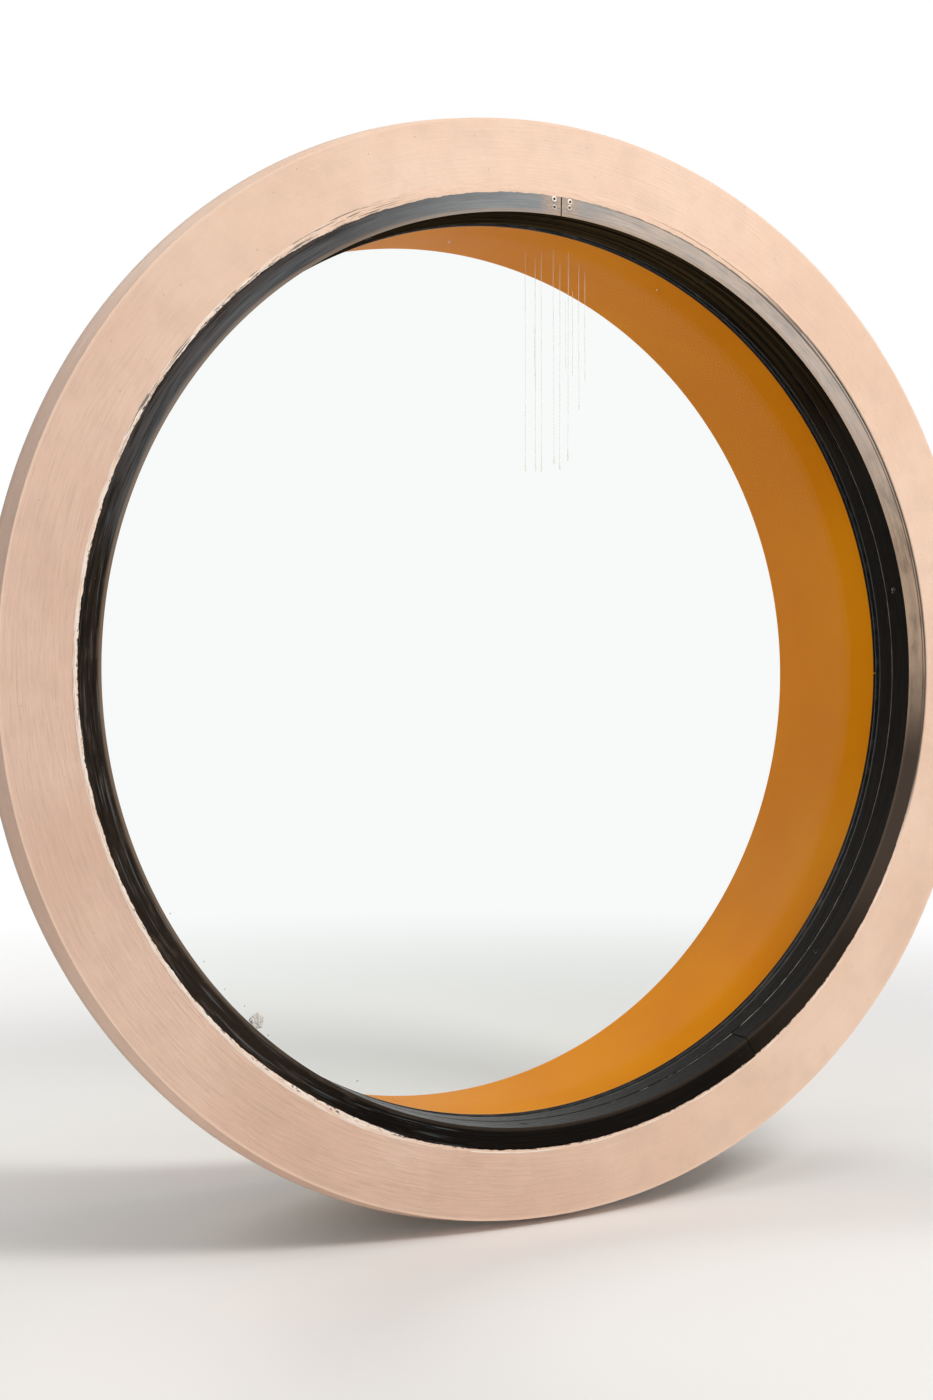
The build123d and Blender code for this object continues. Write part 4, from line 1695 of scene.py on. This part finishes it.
@dataclass
class IndoorBeads:
    """The four quarters of angle that hold the pane from indoors, and their screws."""

    sight: float = 600.0
    outer: float = 625.7
    front: float = 44.0
    back: float = 66.0
    thickness: float = 3.0
    gap: float = 1.2
    sight_round: Round = (1.0, 3)
    web_round: Round = (0.8, 2)
    leg_round: Round = (0.4, 2)
    quarters: int = 4
    screws_each: int = 4
    clearance: float = 0.2
    screw: CrossScrew = field(default_factory=lambda: CrossScrew(622.9, 4.0, 2.4, 2.0, 629.2, 0.5, 56.5, 32))

    def screw_clocks(self) -> list[float]:
        """The clock angles of the screws."""
        pitch = 360.0 / self.quarters / self.screws_each
        return [pitch * (i + 0.5) for i in range(self.quarters * self.screws_each)]

    def quarter(self, number: int) -> Piece:
        """One quarter of the beads.

        Args:
            number: Its number from 0, clockwise from the top.

        Returns:
            The quarter, drilled for its screws.
        """
        span = 360.0 / self.quarters
        gap = math.degrees(self.gap / self.outer)
        leg = self.outer - self.thickness
        web = self.front + self.thickness
        corners = [
            (self.sight, self.front),
            (self.outer, self.front),
            (self.outer, self.back),
            (leg, self.back),
            (leg, web),
            (self.sight, web),
        ]
        section = Section(corners, {5: self.sight_round, 4: self.web_round, 3: self.leg_round})
        piece = section.turned(f"bead_quarter_{number + 1}", 200, span - gap)
        turn_to(piece, span * number + gap / 2)
        own = [clock for clock in self.screw_clocks() if span * number < clock < span * (number + 1)]
        self.screw.bore_into(piece, own, self.clearance)
        smooth(piece)
        return piece

    def build(self, paint: Material, steel: Material) -> None:
        """Makes and dresses the quarters and their screws.

        Args:
            paint: The quarters' paint.
            steel: The screws' finish.
        """
        for number in range(self.quarters):
            mount(self.quarter(number), Slot.BEAD, paint, f"glazing_bead_{number + 1}")
        mount(self.screw.set_at(self.screw_clocks(), "bead_screw_set"), Slot.SCREW, steel, "bead_screws")


@dataclass
class Reveal:
    """The lining of the reveal and the bead of sealant that joins it to the frame."""

    inner: float = 633.0
    outer: float = 645.0
    length: float = 325.0
    edge: Round = (3.0, 5)
    bead: Point = (629.7, 632.8)
    bead_front: float = 52.0
    bead_back: float = 67.0

    def wavy(self, clock: float, radius: float, y: float) -> Point:
        """Waves of the bent board, none near the frame or on the outside.

        Args:
            clock: A vertex's clock angle.
            radius: Its radius.
            y: Its place along the axis.

        Returns:
            Its new radius and place.
        """
        free = ease(y, 75.0, 120.0) * ease(y, self.length, 300.0)
        free *= ease(radius, self.inner + 6.0, self.inner + 1.0)
        wave = 0.45 * ripple(clock, 4.0, 2.6, y / 170.0) + 0.12 * ripple(clock, 12.0, 7.1, y / 80.0)
        return radius + free * wave, y

    def lining(self) -> Piece:
        """The round lining, its lacquered face slightly wavy.

        Returns:
            The lining.
        """
        inside = along((self.inner, self.length), (self.inner, 0.0), 26)
        corners = [*inside, (self.inner, 0.0), (self.outer, 0.0), (self.outer, self.length)]
        return Section(corners, {0: self.edge, len(corners) - 1: self.edge}).shaped("lining_ring", self.wavy)

    def sealant(self) -> Piece:
        """The bead, drawn hollow with a finger.

        Returns:
            The bead.
        """
        (inner, outer), back = self.bead, self.bead_back
        corners = [
            (inner, self.bead_front),
            (outer, self.bead_front),
            (outer, back),
            (outer - 0.9, back - 0.7),
            ((inner + outer) / 2, back - 1.0),
            (inner + 0.9, back - 0.8),
            (inner, back - 0.2),
        ]
        return Section(corners).shaped(
            "lining_bead",
            lambda clock, radius, y: (radius, y - (0.3 + 0.5 * ripple(clock, 34.0, 3.9)) * (y > back - 3.0)),
            sharp=50.0,
        )

    def build(self, lacquer: Material, sealant: Material) -> None:
        """Makes and dresses the lining and its bead."""
        mount(self.lining(), Slot.LINING, lacquer, "reveal_lining")
        mount(self.sealant(), Slot.CREAM_SEALANT, sealant, "lining_sealant")


@dataclass
class Studio:
    """The plain floor, the soft light and the camera."""

    floor_at: float = -730.6
    floor_radius: float = 9000.0
    fade: Point = (1.1, 3.4)
    soft: tuple[float, float, float, float] = (0.97, 0.985, 1.0, 1.0)
    soft_strength: float = 0.32
    camera_place: tuple[float, float, float] = (-1115.6, -2043.4, -26.4)
    yaw: float = 26.25
    pitch: float = -0.31
    focal: float = 1740.0
    image_height: float = 1400.0
    sensor: float = 36.0
    clip: Point = (0.05, 60.0)
    seen_by: tuple[str, ...] = ("Camera", "Glossy", "Transmission")

    def floor(self) -> None:
        """A pale floor that fades into the white beyond it."""
        deselect()
        place = (0.0, 0.0, self.floor_at * MM)
        bpy.ops.mesh.primitive_circle_add(
            vertices=96, radius=self.floor_radius * MM, fill_type="NGON", location=place
        )
        floor = name_piece(bpy.context.object, "floor")
        settle(floor)
        s = Sheet.of("floor")
        x, y, _ = s.xyz
        distance = s.math("SQRT", s.plus(s.times(x, x), s.times(y, y)))
        plain = s.shader(Base_Color=(0.90, 0.90, 0.90, 1.0), Roughness=0.8, Specular_IOR_Level=0.2)
        white = s.put("ShaderNodeEmission", {0: WHITE, 1: 1.0}).outputs[0]
        fade = s.times(s.step(distance, *self.fade), s.rays(*self.seen_by))
        dress(floor, s.finish(s.either(fade, plain, white)))

    def world(self) -> None:
        """Soft light from all round, white where it is seen."""
        world = bpy.data.worlds.new("studio")
        bpy.context.scene.world = world
        s = Sheet(world)
        soft = s.put("ShaderNodeBackground", {0: self.soft, 1: self.soft_strength}).outputs[0]
        white = s.put("ShaderNodeBackground", {0: WHITE, 1: 1.0}).outputs[0]
        s.finish(s.either(s.rays(*self.seen_by), soft, white), "ShaderNodeOutputWorld")

    def lamp(self, name: str, place: Sequence[float], size: float, watts: float, colour: Colour) -> None:
        """A square soft lamp aimed at the window.

        Args:
            name: Its name.
            place: Its place in metres.
            size: Its side in metres.
            watts: Its power.
            colour: Its colour.
        """
        data = bpy.data.lights.new(name, "AREA")
        data.size, data.energy, data.color = size, watts, colour
        lamp = bpy.data.objects.new(name, data)
        lamp.location = place
        lamp.rotation_mode = "QUATERNION"
        lamp.rotation_quaternion = (-Vector(place)).to_track_quat("-Z", "Y")
        lamp.visible_camera = lamp.visible_transmission = False
        bpy.context.scene.collection.objects.link(lamp)

    def lamps(self) -> None:
        """The key light high at the front right, with a fill, one from above and one from behind."""
        self.lamp("key", (1.5, -2.8, 3.2), 1.5, 118.0, (1.0, 0.955, 0.90))
        self.lamp("fill", (-1.0, -4.2, 0.4), 2.2, 18.0, (0.97, 0.98, 1.0))
        self.lamp("above", (0.0, -0.4, 3.6), 2.6, 26.0, (1.0, 0.99, 0.97))
        self.lamp("behind", (-1.2, 2.9, 1.9), 1.8, 48.0, (1.0, 0.97, 0.93))

    def camera(self) -> None:
        """The camera, at the photo's place and with its lens."""
        data = bpy.data.cameras.new("camera")
        data.sensor_fit, data.sensor_width = "AUTO", self.sensor
        data.lens = self.focal / self.image_height * self.sensor
        data.clip_start, data.clip_end = self.clip
        camera = bpy.data.objects.new("camera", data)
        yaw, pitch = math.radians(self.yaw), math.radians(self.pitch)
        ahead = Vector((math.sin(yaw) * math.cos(pitch), math.cos(yaw) * math.cos(pitch), math.sin(pitch)))
        camera.location = Vector(self.camera_place) * MM
        camera.rotation_mode = "QUATERNION"
        camera.rotation_quaternion = ahead.to_track_quat("-Z", "Y")
        bpy.context.scene.collection.objects.link(camera)
        bpy.context.scene.camera = camera

    def build(self) -> None:
        """Sets up the whole studio."""
        self.floor()
        self.world()
        self.lamps()
        self.camera()
        bpy.context.scene.view_settings.view_transform = "Standard"


def dress_hidden(steel: Material) -> None:
    """Gives the nodes that stay as they are their finishes.

    Args:
        steel: The dowels' steel.
    """
    primer = Primer().make()
    blocks = Rubber("block_rubber", (0.045, 0.045, 0.048), (0.10, 0.095, 0.09)).make()
    plastic = Rubber("plug_plastic", (0.34, 0.35, 0.36), (0.24, 0.23, 0.22), (0.42, 0.58)).make()
    seal = Rubber("seal_rubber").make()
    for node, material in {
        "front_channel": primer,
        "frame_band": primer,
        "setting_blocks": blocks,
        "locating_blocks": blocks,
        "screw_plugs": plastic,
        "lining_seal": seal,
        "surround_dowels": steel,
    }.items():
        dress(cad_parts[node], material)
        LOG.info("%s: node kept", node)


def main() -> None:
    """Builds the window piece by piece, then the studio."""
    logging.basicConfig(level=logging.INFO, format="%(name)s: %(message)s")
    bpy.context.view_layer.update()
    cream = Sealant("cream_filler", (0.815, 0.575, 0.432), (0.075, 0.062, 0.052), True, 0.12)
    grey = Sealant("grey_line", (0.32, 0.31, 0.30), (0.14, 0.13, 0.12), dirtiness=0.2, dark_side=352.0)
    inside = Sealant("room_sealant", (0.80, 0.74, 0.66), (0.30, 0.25, 0.21))
    rivet = PlainMetal(
        "rivet_metal", (0.92, 0.83, 0.74), (0.20, 0.15, 0.12), (0.30, 0.45), (0.54, 0.72), hollow=-0.036
    )
    painted = PlainMetal(
        "painted_screw", (0.55, 0.52, 0.48), (0.20, 0.17, 0.14), (0.24, 0.42), (0.56, 0.76), bare_side=92.0
    )
    steel = PlainMetal("screw_steel", (0.62, 0.61, 0.59), (0.20, 0.15, 0.11), (0.24, 0.42))
    dowel = PlainMetal("dowel_steel", (0.60, 0.60, 0.59), (0.44, 0.43, 0.41), (0.22, 0.36), (0.6, 0.85))
    drip = DriedFilm("drip_film", (0.90, 0.84, 0.74), (0.34, 0.50), 90.0)
    chalk = DriedFilm("dried_filler", (0.95, 0.92, 0.87), (0.97, 1.0), 420.0)
    cover_paint = BronzePaint().make()
    Surround().build(MasonryPaint().make(), cream.make())
    Cover().build(cover_paint, rivet.make(), painted.make())
    StopRing().build(cover_paint, grey.make())
    Glazing().build(PaneGlass().make(), Rubber("glazing_rubber").make(), drip.make(), chalk.make())
    IndoorBeads().build(BronzePaint("bead_paint", exposed=False).make(), steel.make())
    Reveal().build(Lacquer().make(), inside.make())
    dress_hidden(dowel.make())
    Studio().build()


if __name__ == "__main__":
    main()
